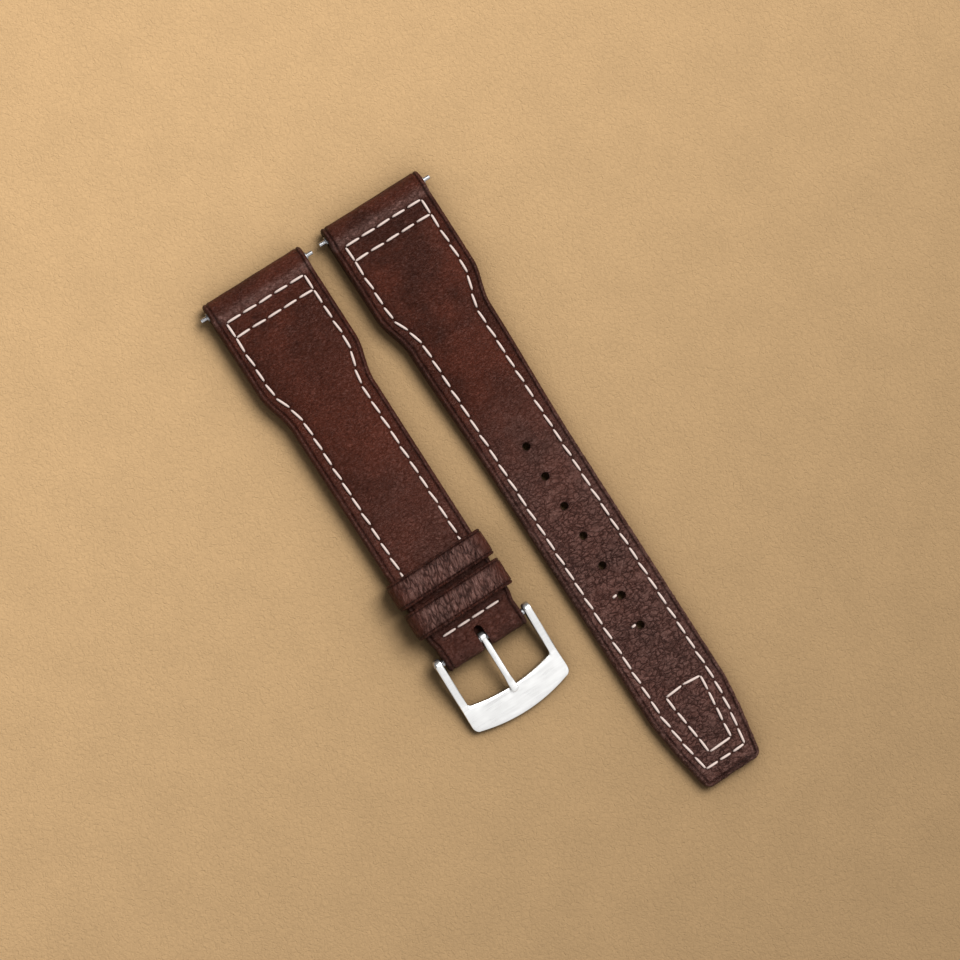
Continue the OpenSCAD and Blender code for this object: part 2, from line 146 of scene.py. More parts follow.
class SewingSizes(bpy.types.PropertyGroup):
    """Rows of stitches and the creased margin outside them"""

    pitch: length("Stitch pitch", 3, "Distance from one stitch to the next")
    visible: length("Stitch length", 2.6, "Length of each stitch that shows")
    thread: length("Thread", 0.43, "Diameter of the thread")
    first_row: length("First cross row", 4.75, "Distance of the first cross row from the lug end")
    second_row: length("Second cross row", 7.7, "Distance of the second cross row")
    head_margin: length("Head margin", 2, "Distance of the side rows from the edge at the head")
    long_margin: length("Long margin", 2.1, "The same on the long half below the head")
    short_margin: length("Short margin", 2.4, "The same on the short half below the head")
    end_row: length("Tip row", 112.4, "Distance of the row across the tip")
    box_from: length("Box start", 98.55, "Where the sewn box at the tip starts")
    box_to: length("Box end", 110.2, "Where that box ends")
    box_top: length("Box top", 3.55, "Half the width of the box where it starts")
    box_foot: length("Box foot", 2.25, "Half its width where it ends")
    box_shift: length("Box shift", 0.35, "How far the box is sewn to the right")
    short_to: length("Short side rows", 61.7, "Where the short half's side rows end")
    fold_row: length("Fold row", 68.9, "Distance of the row that closes the fold")
    fold_half: length("Fold row half", 5.7, "Half the length of that row")
    crease: length("Crease", 0.82, "Distance of the creased line from the edge")
    slant: FloatProperty(
        name="Slant", description="Angle of each stitch to its row",
        default=math.radians(4), subtype="ANGLE", unit="ROTATION",
    )


class KeeperSizes(bpy.types.PropertyGroup):
    """The two leather loops by the buckle"""

    width: length("Width", 5, "Width of each keeper along the strap")
    thickness: length("Thickness", 0.9, "Thickness of the leather")
    free_at: length("Free keeper", 56.7, "Distance of the sliding keeper from the lug end")
    fixed_at: length("Fixed keeper", 62.5, "Distance of the other keeper")
    half: length("Half width", 9.25, "Half the outer width across the strap")
    top: length("Top", 5.9, "Height of the outside above the underside of the strap")
    low: length("Drop", 1, "How far the outside drops below it")
    corner: length("Corner", 1.6, "Outer radius of the corners")


class BuckleSizes(bpy.types.PropertyGroup):
    """Frame, tongue and bar of the buckle"""

    arm_in: length("Arm inside", 8.25, "Half the distance between the arms")
    arm_out: length("Arm outside", 9.65, "Half the width over the arms")
    arm_height: length("Arm height", 2.4, "Height of the arms at the bar")
    front_in: length("Front bar inside", 8.6, "From the bar to the front bar")
    front_bow_in: length("Inner bow", 1.1, "How far the front bar's inner edge bows out")
    front_out: length("Front bar outside", 13.1, "From the bar to the outer edge of the front bar")
    front_bow_out: length("Outer bow", 1.65, "How far that outer edge bows out")
    front_thick: length("Front bar thickness", 1.3, "Thickness of the front bar")
    bore: length("Bore", 0.45, "Radius of the holes for the bar's pins")
    eye_in: length("Eye inside", 0.8, "Inner radius of the tongue's eye")
    eye_out: length("Eye outside", 1, "Outer radius of the tongue's eye")
    tongue_low: length("Tongue height", 0.15, "Height of the tongue's underside above the bar")
    tongue_thick: length("Tongue thickness", 0.85, "Thickness of the tongue")
    tongue_width: length("Tongue width", 1.1, "Width of the tongue")
    tongue_length: length("Tongue length", 10.8, "From the bar to the tongue's tip")


class BarSizes(bpy.types.PropertyGroup):
    """Coil springs in the sprung bars"""

    lug_spring: length("Lug spring", 6.5, "Half the length of a lug bar's spring")
    lug_coil: length("Lug coil radius", 0.5, "Middle radius of its coils")
    buckle_spring: length("Buckle spring", 4.55, "Half the length of the buckle bar's spring")
    buckle_coil: length("Buckle coil radius", 0.35, "Middle radius of its coils")
    wire: length("Wire", 0.19, "Diameter of the spring wire")
    coil_pitch: length("Coil pitch", 0.42, "Distance from one coil to the next")


class FinishColours(bpy.types.PropertyGroup):
    """Colours of leather, thread, padding and steel"""

    leather: colour("Leather", *srgb(69, 32, 20), "Top leather")
    leather_red: colour("Red leather", *srgb(93, 43, 28), "Patches where the dye took warmer")
    # Darker dye patches, and the colour of painted shade in creases, pits, grooves and hole walls
    leather_deep: colour("Leather creases", *srgb(34, 14, 9), "Creases of the top leather")
    # Colour of the painted sheen and painted highlights on raised grain
    leather_worn: colour("Rubbed leather", *srgb(146, 110, 101), "Raised grain that is rubbed")
    lining: colour("Lining", *srgb(120, 82, 62), "Underside leather")
    felt: colour("Padding", *srgb(205, 190, 165), "Felt between the leathers")
    thread: colour("Thread", *srgb(238, 216, 205), "Waxed thread")
    buckle: colour("Buckle steel", *srgb(250, 249, 247), "Brushed steel of the buckle")
    bar: colour("Bar steel", *srgb(190, 190, 192), "Turned steel of the sprung bars")


class StageSettings(bpy.types.PropertyGroup):
    """Floor, lamp and sky"""

    floor: colour("Floor", *srgb(199, 163, 118), "Colour of the paper under the strap")
    key_power: FloatProperty(
        name="Key lamp", description="Power of the soft lamp", default=74.0, min=0,
        subtype="POWER", unit="POWER",
    )
    key_size: length("Key size", 1500, "Width of the soft lamp")
    sky: FloatProperty(
        name="Sky", description="Strength of the even light all round", default=0.31, min=0, max=1
    )


def own_properties(group):
    """The properties that the group's own class declares."""
    return [p for p in group.bl_rna.properties if p.identifier not in {"rna_type", "name"}]


def in_mm(group):
    """The values of a property group, its lengths in millimetres."""
    values = {}
    for prop in own_properties(group):
        value = getattr(group, prop.identifier)
        values[prop.identifier] = value / MM if getattr(prop, "unit", "") == "LENGTH" else value
    return SimpleNamespace(**values)


# Shape of the two halves, in mm: x across, u from the lug end, z up from the underside


def mix(a, b, t):
    """The value between a and b at share t."""
    return a + (b - a) * t


def smooth(u, start, end):
    """A soft step from 0 at start to 1 at end."""
    t = np.clip((u - start) / (end - start), 0, 1)
    return t * t * (3 - 2 * t)


def bump(distance, width):
    """A soft hump of height 1 that falls away over width."""
    return np.exp(-((distance / width) ** 2))


def rolled(edge, radius):
    """How far an edge rolled to that radius falls, at each distance from the edge."""
    near = np.clip(edge, 0, radius)
    return radius - np.sqrt(np.maximum(radius**2 - (radius - near) ** 2, 0))


class Half:
    """Outline and heights of the long or the short half of the strap."""

    def __init__(self, scene, name):
        self.s, self.w = in_mm(scene.strap_sizes), in_mm(scene.strap_sewing)
        self.name, self.body, self.long = name, f"{name}_strap", name == "long"
        s = self.s
        self.end = s.long_length if self.long else s.short_length
        self.fold_at = s.short_length - s.fold_loop
        self.pad_from = 2 * s.lug_loop + 0.3
        self.pad_to = (self.w.end_row if self.long else self.w.fold_row) - 1
        # place along the half, outer radius, bore and outward way of each loop
        self.loops = {"lug": (s.lug_loop, s.lug_loop, s.lug_bore, -1)}
        if not self.long:
            self.loops["fold"] = (self.fold_at, s.fold_loop, s.fold_bore, 1)
        slide = JOINTS["free_keeper_slide"]["axis"]
        lean = 0 if self.long else math.atan2(-slide[2], slide[1])
        self.place = (
            Matrix.Translation(Vector(JOINTS[f"{name}_bar_spin"]["pos_m"]) / MM)
            @ Matrix.Rotation(-lean, 4, "X")
            @ Matrix.Translation((0, s.lug_loop, -s.lug_loop))
        )

    def tip_corner(self, u):
        """How far u reaches into the tip's round corner, and the corner's reach sideways there."""
        corner = self.s.corner
        into = np.clip(u - self.s.long_length + corner, 0, corner)
        return into, np.sqrt(corner**2 - into**2)

    def half_width(self, u):
        """Half the width of the outline."""
        s = self.s
        if self.long:
            body = mix(s.long_body, s.long_tail, smooth(u, s.shoulder_end, s.tail_from))
        else:
            body = mix(s.short_body, s.fold_width, smooth(u, s.narrow_from, s.narrow_to))
        side = mix(s.head_width, body, smooth(u, s.shoulder_start, s.shoulder_end)) / 2
        if not self.long:
            return side
        along = np.maximum(u - s.long_length + s.tip_length, 0) / s.tip_length
        side = side - s.tip_taper / 2 * along**1.35
        return side - s.corner + self.tip_corner(u)[1]

    def edge_distance(self, x, u):
        """Distance of a point inside the outline from the nearest side or from the tip."""
        beside = self.half_width(u) - np.abs(x)
        if not self.long:
            return beside
        into, reach = self.tip_corner(u)
        centre = self.half_width(u) - reach
        round_corner = self.s.corner - np.hypot(np.maximum(np.abs(x) - centre, 0), into)
        in_corner = (np.abs(x) > centre) & (into > 0)
        return np.where(in_corner, round_corner, np.minimum(beside, self.end - u))

    def stitch_x(self, u):
        """Distance of the side rows of stitches from the middle."""
        s, w = self.s, self.w
        if self.long:
            near_edge = self.half_width(np.minimum(u, s.long_length - s.corner)) - w.long_margin
            body = s.long_tail / 2 - w.long_margin
        else:
            near_edge = self.half_width(u) - w.head_margin
            body = s.short_body / 2 - w.short_margin
        head = s.head_width / 2 - w.head_margin
        return np.minimum(near_edge, mix(head, body, smooth(u, s.shoulder_start, s.shoulder_end)))

    def edge_z(self, u):
        """Height of the top at its edges."""
        s, w = self.s, self.w
        pad = mix(s.pad_head, s.pad_tail, smooth(u, s.turned_to, 60))
        hump = 1 - smooth(u, s.lug_loop, w.first_row)
        z = mix(s.cover + s.lining + pad, 2 * s.lug_loop, hump)
        if not self.long:
            z = mix(z, 2 * s.fold_loop, smooth(u, w.fold_row + 0.3, self.fold_at))
        return z

    def crown(self, u):
        """How far the middle swells over the edges."""
        s, w = self.s, self.w
        swell = mix(s.crown_head, s.crown_tail, smooth(u, s.shoulder_start, 78))
        swell = swell * smooth(u, w.second_row, w.second_row + 3)
        if self.long:
            return swell * (1 - smooth(u, w.end_row - 3.2, w.end_row + 1.6))
        return swell * (1 - smooth(u, w.fold_row - 3, w.fold_row))

    def top(self, x, u):
        """Height of the smooth top."""
        dome = 1 - np.minimum(np.abs(x) / self.stitch_x(u), 1) ** 3
        return self.edge_z(u) + self.crown(u) * dome

    def inside(self, u):
        """Height at which the turned leather meets the leather above it."""
        s = self.s
        z = mix(s.lug_loop, s.lining + 0.01, smooth(u, s.lug_loop + s.lug_bore, self.pad_from))
        if not self.long:
            bore_from = self.fold_at - s.fold_bore
            z = mix(z, s.fold_loop, smooth(u, bore_from - 1.6, bore_from))
        return z

    def holes(self):
        """Places of the holes for the tongue."""
        count = self.s.hole_count if self.long else 0
        return [self.s.first_hole + i * self.s.hole_pitch for i in range(count)]

    def beyond_hole(self, x, u):
        """Distance of each point from the rim of the nearest hole, negative inside it."""
        away = np.full(np.shape(x), np.inf)
        for at in self.holes():
            away = np.minimum(away, np.hypot(x, u - at) - self.s.hole / 2)
        return away

    def points(self, mesh):
        """x, u and z of every vertex of a finished mesh."""
        inverse = (Matrix.Scale(MM, 4) @ self.place).inverted()
        points = np.array([inverse @ v.co for v in mesh.vertices])
        return points[:, 0], -points[:, 1], points[:, 2]


def halves(scene):
    return [Half(scene, "long"), Half(scene, "short")]


# Rows of stitches, each stitch as two points seen from above


def along_row(way, distance, pitch, visible):
    """Even stitches on a way, given by the share covered; the row ends in its corner holes."""
    count = max(1, round(distance / pitch))
    half = visible / pitch / 2
    row = []
    for i in range(count):
        start = 0.03 if i == 0 else i + 0.5 - half
        end = count - 0.03 if i == count - 1 else i + 0.5 + half
        row.append((np.array(way(start / count)), np.array(way(end / count))))
    return row


def straight_row(start, end, sewing):
    """Even stitches on a straight line."""
    start, end = np.array(start, float), np.array(end, float)
    return along_row(
        lambda t: mix(start, end, t), np.linalg.norm(end - start), sewing.pitch, sewing.visible
    )


def side_rows(half, start, end):
    """The rows down both sides; between its two ends each stitch slants a little."""
    rows = []
    for side in (-1, 1):
        row = along_row(
            lambda t: (side * float(half.stitch_x(mix(start, end, t))), mix(start, end, t)),
            end - start, half.w.pitch, half.w.visible,
        )
        rows += [row[0], *(slanted(stitch, -half.w.slant) for stitch in row[1:-1])]
        rows += row[1:][-1:]
    return rows


def cross_row(half, u, reach=None):
    """A row across the strap, out to the side rows if no reach is given."""
    reach = float(half.stitch_x(u)) if reach is None else reach
    return straight_row((-reach, u), (reach, u), half.w)


def sewn_stitches(half):
    """Stitches that hold the layers of one half together."""
    w = half.w
    rows = cross_row(half, w.first_row) + cross_row(half, w.second_row)
    end = w.end_row if half.long else w.short_to
    rows += side_rows(half, w.first_row, w.second_row) + side_rows(half, w.second_row, end)
    if half.long:
        rows += cross_row(half, w.end_row) + box_stitches(w)
    return hand_laid(rows)


def box_stitches(w):
    """The box at the tip: two stitches at its top, one at its foot, and two rows down its sides."""
    x, top, foot = w.box_shift, w.box_top, w.box_foot
    middle = (x, w.box_from - 0.35)
    rows = [
        drawn_in((x - top, w.box_from), middle), drawn_in(middle, (x + top, w.box_from)),
        drawn_in((x - foot, w.box_to), (x + foot, w.box_to)),
    ]
    for side in (-1, 1):
        rows += straight_row((x + side * top, w.box_from), (x + side * foot, w.box_to), w)
    return rows


def drawn_in(start, end, gap=0.12):
    """One long stitch from hole to hole."""
    start, end = np.array(start, float), np.array(end, float)
    step = (end - start) / np.linalg.norm(end - start) * gap
    return start + step, end - step


def tacks(half):
    """A short tack at the rim of each of the last two holes."""
    return [
        (np.array((-1.6, at - 0.42)), np.array((-0.72, at - 0.5))) for at in half.holes()[-2:]
    ]


def fold_stitches(half):
    """Stitches that close the fold round the buckle bar."""
    return cross_row(half, half.w.fold_row, half.w.fold_half)


def hand_laid(stitches):
    """The same stitches, each turned and drawn in a little differently."""
    laid = []
    for i, (start, end) in enumerate(stitches):
        turn, shrink = math.sin(i * 2.3) * 0.035, 0.015 * (1 + math.sin(i * 5.1))
        start, end = mix(start, end, shrink), mix(end, start, shrink)
        laid.append(slanted((start, end), turn))
    return laid


def slanted(stitch, angle):
    """A stitch turned a little about its middle."""
    start, end = stitch
    middle, reach = (start + end) / 2, (end - start) / 2
    turn = np.array([[math.cos(angle), -math.sin(angle)], [math.sin(angle), math.cos(angle)]])
    return middle - turn @ reach, middle + turn @ reach


def stitch_groove(x, u, stitches):
    """How far the pulled thread presses the leather in, from 0 to about 1."""
    depth = np.zeros_like(x)
    for start, end in stitches:
        low, high = np.minimum(start, end) - 1.2, np.maximum(start, end) + 1.2
        near = (x > low[0]) & (x < high[0]) & (u > low[1]) & (u < high[1])
        if not near.any():
            continue
        point = np.stack([x[near], u[near]], axis=1)
        line = end - start
        share = np.clip((point - start) @ line / (line @ line), 0, 1)
        away = np.linalg.norm(point - start - share[:, None] * line, axis=1)
        ends = np.minimum(
            np.linalg.norm(point - start, axis=1), np.linalg.norm(point - end, axis=1)
        )
        depth[near] = np.maximum(depth[near], 0.5 * bump(away, 0.4) + 0.35 * bump(ends, 0.24))
    return depth


def uneven(x, u, size, seed):
    """Smooth unevenness between about -1 and 1 at each point, for work done by hand."""
    return np.array([
        noise.noise(Vector((a / size[0] + seed, b / size[1], seed))) for a, b in zip(x, u)
    ])


def leather_relief(half, x, u, stitches):
    """Height that sewing, creasing and punching add to the smooth top, in mm."""
    w, s, seed = half.w, half.s, 5 if half.long else 50
    tail = smooth(u, 30, 72) if half.long else 0.35 * smooth(u, 30, 60)
    lumps = uneven(x, u, (0.9, 1.1), seed)
    edge = half.edge_distance(x, u) + 0.1 * uneven(x, u, (3, 2.2), seed + 1)
    height = -0.26 * stitch_groove(x, u, stitches)
    height -= (0.19 + 0.1 * lumps) * bump(edge - w.crease, 0.16)
    height += (0.07 + 0.1 * lumps) * bump(edge - w.crease + 0.36, 0.2)
    height += (0.06 + 0.1 * lumps) * bump(edge - w.crease - 0.5, 0.3)
    height -= np.maximum(0.1 * (uneven(x, u, (8, 3), seed + 5) + 0.3), 0) * bump(edge - 1.4, 0.13)
    row = np.abs(np.abs(x) - half.stitch_x(u))
    in_rows = (u > w.first_row) & (u < (w.end_row if half.long else w.short_to))
    height -= np.where(in_rows, 0.08 * bump(row, 0.55), 0)
    height -= 0.16 * bump(u - w.first_row - 0.1, 0.8)
    height += 0.34 * uneven(x, u, (0.55, 1.6), seed + 2) * bump(u - 3.9, 0.9)
    height += (0.1 + 0.08 * tail) * uneven(x, u, (3.4, 4.2), seed + 3) * smooth(edge, 0.6, 2.4)
    hollow = bump(uneven(x, u, (9, 5), seed + 6) - 0.1, 0.07)
    hollow = hollow * smooth(uneven(x, u, (6, 6), seed + 7), 0, 0.3)
    height -= 0.16 * hollow * smooth(edge, 1.5, 3.5) * (1 - tail)
    height -= 0.22 * bump(np.maximum(half.beyond_hole(x, u), 0), 0.45)
    if not half.long:
        outside = np.abs(x) - s.slot_width / 2, s.slot_from - u
        beside = np.hypot(*np.maximum(outside, 0))
        height -= 0.2 * bump(beside, 0.45)
        height += 0.2 * uneven(x, u, (0.8, 1.3), seed + 4) * smooth(u, 69, 71)
        panel = np.abs(x) - mix(3.6, 5.2, smooth(u, 68.8, 72))
        height -= 0.12 * bump(panel, 0.16) * smooth(u, 68.7, 69.2)
    return height


# Meshes


def grid_skin(rings, closed_along=False):
    """A grid whose points are moved to the rings, rolled up and merged into one closed skin."""
    rings = np.asarray(rings, float)
    rows, columns = rings.shape[:2]
    if closed_along:
        rings = np.concatenate([rings, rings[:1]])
        rows += 1
    bm = bmesh.new()
    bmesh.ops.create_grid(bm, x_segments=columns, y_segments=rows - 1, size=1)
    for vert in bm.verts:
        i = round((vert.co.x + 1) / 2 * columns)
        j = round((vert.co.y + 1) / 2 * (rows - 1))
        vert.co = rings[j, i % columns]
    bmesh.ops.remove_doubles(bm, verts=bm.verts, dist=MERGE_MM)
    bmesh.ops.dissolve_degenerate(bm, edges=bm.edges, dist=MERGE_MM / 10)
    return closed(bm)


def closed(bm):
    """The mesh with its open ends filled and its faces turned outward."""
    bmesh.ops.holes_fill(bm, edges=[e for e in bm.edges if e.is_boundary], sides=0)
    bmesh.ops.recalc_face_normals(bm, faces=bm.faces)
    return bm


def finish_piece(name, bm, place, finish, body, node, sharp=40):
    """Makes the mesh, in mm at its own place, a piece in metres that rides on its body."""
    mesh = bpy.data.meshes.new(name)
    bm.transform(Matrix.Scale(MM, 4) @ place)
    bm.to_mesh(mesh)
    bm.free()
    mesh.polygons.foreach_set("use_smooth", [True] * len(mesh.polygons))
    mesh.set_sharp_from_angle(angle=math.radians(sharp))
    mesh.materials.append(finish)
    piece = bpy.data.objects.new(name, mesh)
    bpy.context.scene.collection.objects.link(piece)
    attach(piece, body)
    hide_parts(node)
    return piece


def cut_with(bm, cutter, operation="DIFFERENCE"):
    """The mesh after a Boolean with a second one, as a new bmesh."""
    objects = []
    for part in (bm, cutter):
        bmesh.ops.triangulate(part, faces=[f for f in part.faces if len(f.verts) > 4])
        mesh = bpy.data.meshes.new("workpiece")
        part.to_mesh(mesh)
        part.free()
        objects.append(bpy.data.objects.new("workpiece", mesh))
        bpy.context.scene.collection.objects.link(objects[-1])
    cut = objects[0].modifiers.new("cut", "BOOLEAN")
    cut.operation, cut.solver, cut.object = operation, "MANIFOLD", objects[1]
    depsgraph = bpy.context.evaluated_depsgraph_get()
    result = bpy.data.meshes.new_from_object(objects[0].evaluated_get(depsgraph))
    made = bmesh.new()
    made.from_mesh(result)
    # an object goes with its mesh
    for mesh in [thing.data for thing in objects] + [result]:
        bpy.data.meshes.remove(mesh)
    if not made.faces:
        raise RuntimeError("a cut left nothing of the piece")
    return made


def punched(bm, half, radius):
    """The mesh with the half's row of holes, if it has one, cut through it."""
    if not half.long:
        return bm
    cutter = bmesh.new()
    for at in half.holes():
        bmesh.ops.create_cone(
            cutter, cap_ends=True, segments=28, radius1=radius, radius2=radius,
            depth=8, matrix=Matrix.Translation((0, -at, 3)),
        )
    return cut_with(bm, cutter)


def slot_cutter(half, start, low):
    """A slot with a round start, open at the end of the fold, down to the given height."""
    bm = bmesh.new()
    radius, far = half.s.slot_width / 2, half.s.short_length + 1
    bmesh.ops.create_circle(bm, cap_ends=True, segments=40, radius=radius)
    for vert in bm.verts:
        back = 0 if vert.co.y > -1e-6 else radius + start - far
        vert.co.y += back - start - radius
        if back:
            vert.co.y = -far
    bmesh.ops.translate(bm, verts=bm.verts, vec=(0, 0, low))
    made = bmesh.ops.extrude_face_region(bm, geom=bm.faces[:])
    raised = [g for g in made["geom"] if isinstance(g, bmesh.types.BMVert)]
    bmesh.ops.translate(bm, verts=raised, vec=(0, 0, 8 - low))
    bmesh.ops.remove_doubles(bm, verts=bm.verts, dist=1e-4)
    bmesh.ops.recalc_face_normals(bm, faces=bm.faces)
    return bm


def mark(mesh, **values):
    """Stores values at the vertices for the finish."""
    for name, value in values.items():
        attribute = mesh.attributes.new(name, "FLOAT", "POINT")
        attribute.data.foreach_set("value", np.asarray(value, np.float32))


# Distances from the edge and shares of the rest for the columns of the top leather, and the
# shape of its inside: shares across, which of those points rise with the padding, and side walls
EDGE_STEPS = np.array([
    0, 0.02, 0.06, 0.12, 0.2, 0.29, 0.38, 0.47, 0.55, 0.62, 0.69, 0.76, 0.83, 0.9, 0.97,
    1.05, 1.15, 1.3, 1.5, 1.7, 1.9, 2.1, 2.3, 2.5, 2.7, 2.9,
])
MIDDLE_STEPS = np.linspace(-1, 1, 47)[1:-1]
INSIDE_SHARES = [1, 1, 0.85, 0.6, 0.3, 0, -0.3, -0.6, -0.85, -1, -1]
INSIDE_RAISED = [0, 1, 1, 1, 1, 1, 1, 1, 1, 1, 0]
WALL_STEPS = [(0.3, 0), (0.7, 0), (0.93, 0), (1, 0.09)]


def across_columns(width):
    """Places across the strap, close together near the edges, from the right edge to the left."""
    steps = EDGE_STEPS * min(1, width / 4.5)
    inner = width - steps[-1]
    return np.concatenate([width - steps, -inner * MIDDLE_STEPS, (steps - width)[::-1]])


def cover_rings(half, stitches):
    """Cross-sections of the top leather: from its turned end, round the lug bar, along the top."""
    s = half.s
    underside = [("hem", u) for u in np.linspace(s.turned_to, s.lug_loop, 24)[:-1]]
    lug_turn = [("lug", a) for a in np.linspace(0, math.pi, 33)[:-1]]
    if half.long:
        top_end = half.end - 3
        last = list(half.end - EDGE_STEPS[::-1])
    else:
        top_end, last = half.fold_at, []
    count = round((top_end - s.lug_loop) / 0.2)
    top = [("top", u) for u in [*np.linspace(s.lug_loop, top_end, count + 1), *last]]
    fold = []
    if not half.long:
        fold = [("fold", a) for a in np.linspace(math.pi, 0, 33)[1:]]
        fold += [("hem", u) for u in np.linspace(half.fold_at, s.hem_from, 36)[1:]]
    return [cover_ring(half, *way, stitches) for way in underside + lug_turn + top + fold]


def cover_ring(half, kind, value, stitches):
    """One cross-section: kind says on which part it lies, value its place or its angle there."""
    s = half.s
    centre, loop, _, outward = half.loops.get(kind, (value, 0, 0, 0))
    width = float(half.half_width(centre))
    x = across_columns(width)
    u = np.full_like(x, centre)
    under = {"hem": 1, "top": 0}.get(kind, (1 + math.cos(value)) / 2)
    drop = rolled(half.edge_distance(x, u), mix(s.roll, 0.3, under))
    if kind == "top":
        z = half.top(x, u) - drop + leather_relief(half, x, u, stitches)
    elif kind == "hem":
        z = drop * 0.8 + 0.13 * stitch_groove(x, u, stitches)
    else:
        turned = np.full_like(x, centre + outward * loop * (math.pi - value))
        radius = loop - drop + leather_relief(half, x, turned, stitches) * (1 - under)
        u = centre + outward * radius * math.sin(value)
        z = loop - radius * math.cos(value)
    outer = np.stack([x, -u, z], axis=1)
    return np.concatenate([outer, *inner_side(half, kind, value, width, outer)])


def inside_place(half, kind, value):
    """Place along the half and height of the inside of a cross-section."""
    if kind in half.loops:
        centre, loop, bore, outward = half.loops[kind]
        return centre + outward * bore * math.sin(value), loop - bore * math.cos(value)
    way = 1 if kind == "top" else -1
    for centre, loop, bore, _ in half.loops.values():
        if abs(value - centre) < bore:
            return value, loop + way * math.sqrt(bore**2 - (value - centre) ** 2)
    return value, float(half.inside(value)) + way * 0.01


def inner_side(half, kind, value, width, outer):
    """The way back round a cross-section: down the left side, across the inside, up the right."""
    s = half.s
    u, low = inside_place(half, kind, value)
    side, raised = width * 0.7, 0
    if kind == "top":
        side = float(half.stitch_x(value)) - s.cover / 4
        if half.pad_from < value < half.pad_to:
            raised = float(smooth(value, half.pad_from, half.pad_from + 0.4))
            raised *= 1 - float(smooth(value, half.pad_to - 0.4, half.pad_to))
    side = min(side, width - 0.3)
    ceiling, crown = float(half.edge_z(value)) - s.cover, float(half.crown(value))
    inside = [
        (side * share, -u, mix(low, ceiling + crown * (1 - abs(share) ** 3), up * raised))
        for share, up in zip(INSIDE_SHARES, INSIDE_RAISED)
    ]
    walls = []
    for top, side in ((outer[-1], 1), (outer[0], -1)):
        foot = np.array([-side * width, -u, low])
        walls.append([mix(top, foot, t) + (side * tuck, 0, 0) for t, tuck in WALL_STEPS])
    return np.array(walls[0]), np.array(inside[::-1]), np.array(walls[1][::-1])


def mark_leather(mesh, half, stitches):
    """Marks grain strength, warm parts, painted sheen on the hump, ridges and tail, and painted
    shade in the sewn grooves, creases, along the edges and in the hole walls.
    """
    x, u, z = half.points(mesh)
    w = half.w
    edge = half.edge_distance(x, u)
    on_top = z > half.edge_z(np.clip(u, 2, half.end)) - 1.2
    between_rows = smooth(u, w.second_row - 0.4, w.second_row + 1.5)
    inside_rows = smooth(half.stitch_x(u) - np.abs(x), -0.2, 1.2)
    tail = smooth(u, 34, 68) if half.long else 0.3 * smooth(u, 30, 62)
    grain = mix(0.22, 1, tail) * mix(0.7, 1, inside_rows) * mix(1.6, 1, between_rows)
    # Painted shade: darker in the sewn grooves, at the crease, towards the edge and between the
    # first two rows
    shade = 0.75 * stitch_groove(x, u, stitches) + 0.6 * bump(edge - w.crease, 0.17)
    shade += 0.4 * (1 - smooth(edge, 0.2, 1.9)) + 0.2 * bump(u - 6.2, 1.2)
    beyond = half.beyond_hole(x, u)
    # Painted shade in the hole walls and round their rims
    shade += np.where(beyond < 0.03, 1.0, 0)
    shade += 0.3 * bump(np.maximum(beyond, 0), 0.2)
    # Painted sheen: greyish over the tail, a bright strip on the hump before the first row, glints
    # on the ridge by the crease
    rubbed = 0.9 * tail + 1.2 * bump(u - 3.8, 0.8) + 0.4 * bump(edge - w.crease + 0.36, 0.15)
    if half.long:
        warm = 0.4 * bump(u - 40, 9) + 0.9 * bump(u - 98, 11) * smooth(-x, 0, 5)
    else:
        # Painted shade from the fixed keeper to the fold
        shade += 0.3 * smooth(u, 63, 68)
        warm = 0.9 * bump(u - 27, 12) + 0.5 * bump(u - 50, 9) + 0.9 * bump(u - 71, 4)
    # Below the top (walls, hem, loops) shade is 0.6: painted shade, and on the walls also the dark
    # paint of cut edges
    mark(
        mesh, grain=np.where(on_top, grain, 0.12),
        shade=np.clip(np.where(on_top, shade, 0.6), 0, 1),
        rubbed=np.clip(np.where(on_top, rubbed, 0), 0, 1),
        warm=np.clip(np.where(on_top, warm, 0), 0, 1),
    )


def grain_relief(mesh, depth=0.22):
    """Presses the folds and pebbles of the grain into the leather; the finest is in the finish."""
    noise.seed_set(NOISE_SEED)
    points = np.array([v.co for v in mesh.vertices]) / MM
    grain, shade, fold = np.zeros((3, len(points)))
    mesh.attributes["grain"].data.foreach_get("value", grain)
    mesh.attributes["shade"].data.foreach_get("value", shade)
    open_skin = (grain > 0.13) & (shade < 0.9)
    for i in np.flatnonzero(open_skin):
        p = Vector(points[i])
        bent = p + noise.noise_vector(p * 0.3) * 1.3 + noise.noise_vector(p * 0.9) * 0.45
        bent = Vector((bent.x * 0.8, bent.y * 1.3, bent.z))
        near, close = noise.voronoi(bent * 0.6)[0], noise.voronoi(bent * 1.25)[0]
        here = min(max(0.8 + 1.6 * noise.noise(p * 0.33), 0.1), 1)
        folds = here * (1 - min((near[1] - near[0]) * 2.0, 1))
        pebbles = 0.7 * (1 - min((close[1] - close[0]) * 1.9, 1))
        curls = 0.6 * (1 - min(abs(noise.noise(bent * 0.9)) * 4.5, 1))
        fold[i] = mix(curls * (0.6 + 0.5 * here), max(folds, pebbles), min(grain[i], 1))
    strength = np.minimum(grain, 1)
    weight = np.where(open_skin, 0.2 + 0.8 * strength, 0)
    normals = np.array([v.vector for v in mesh.vertex_normals])
    moved = points - normals * (depth * weight * (fold - 0.3))[:, None]
    mesh.vertices.foreach_set("co", (moved * MM).ravel())
    # fold: how deep each fold lies, which the finish darkens as painted shade
    mark(mesh, fold=fold * np.where(open_skin, 0.4 + 0.6 * strength, 0))
    mesh.update()


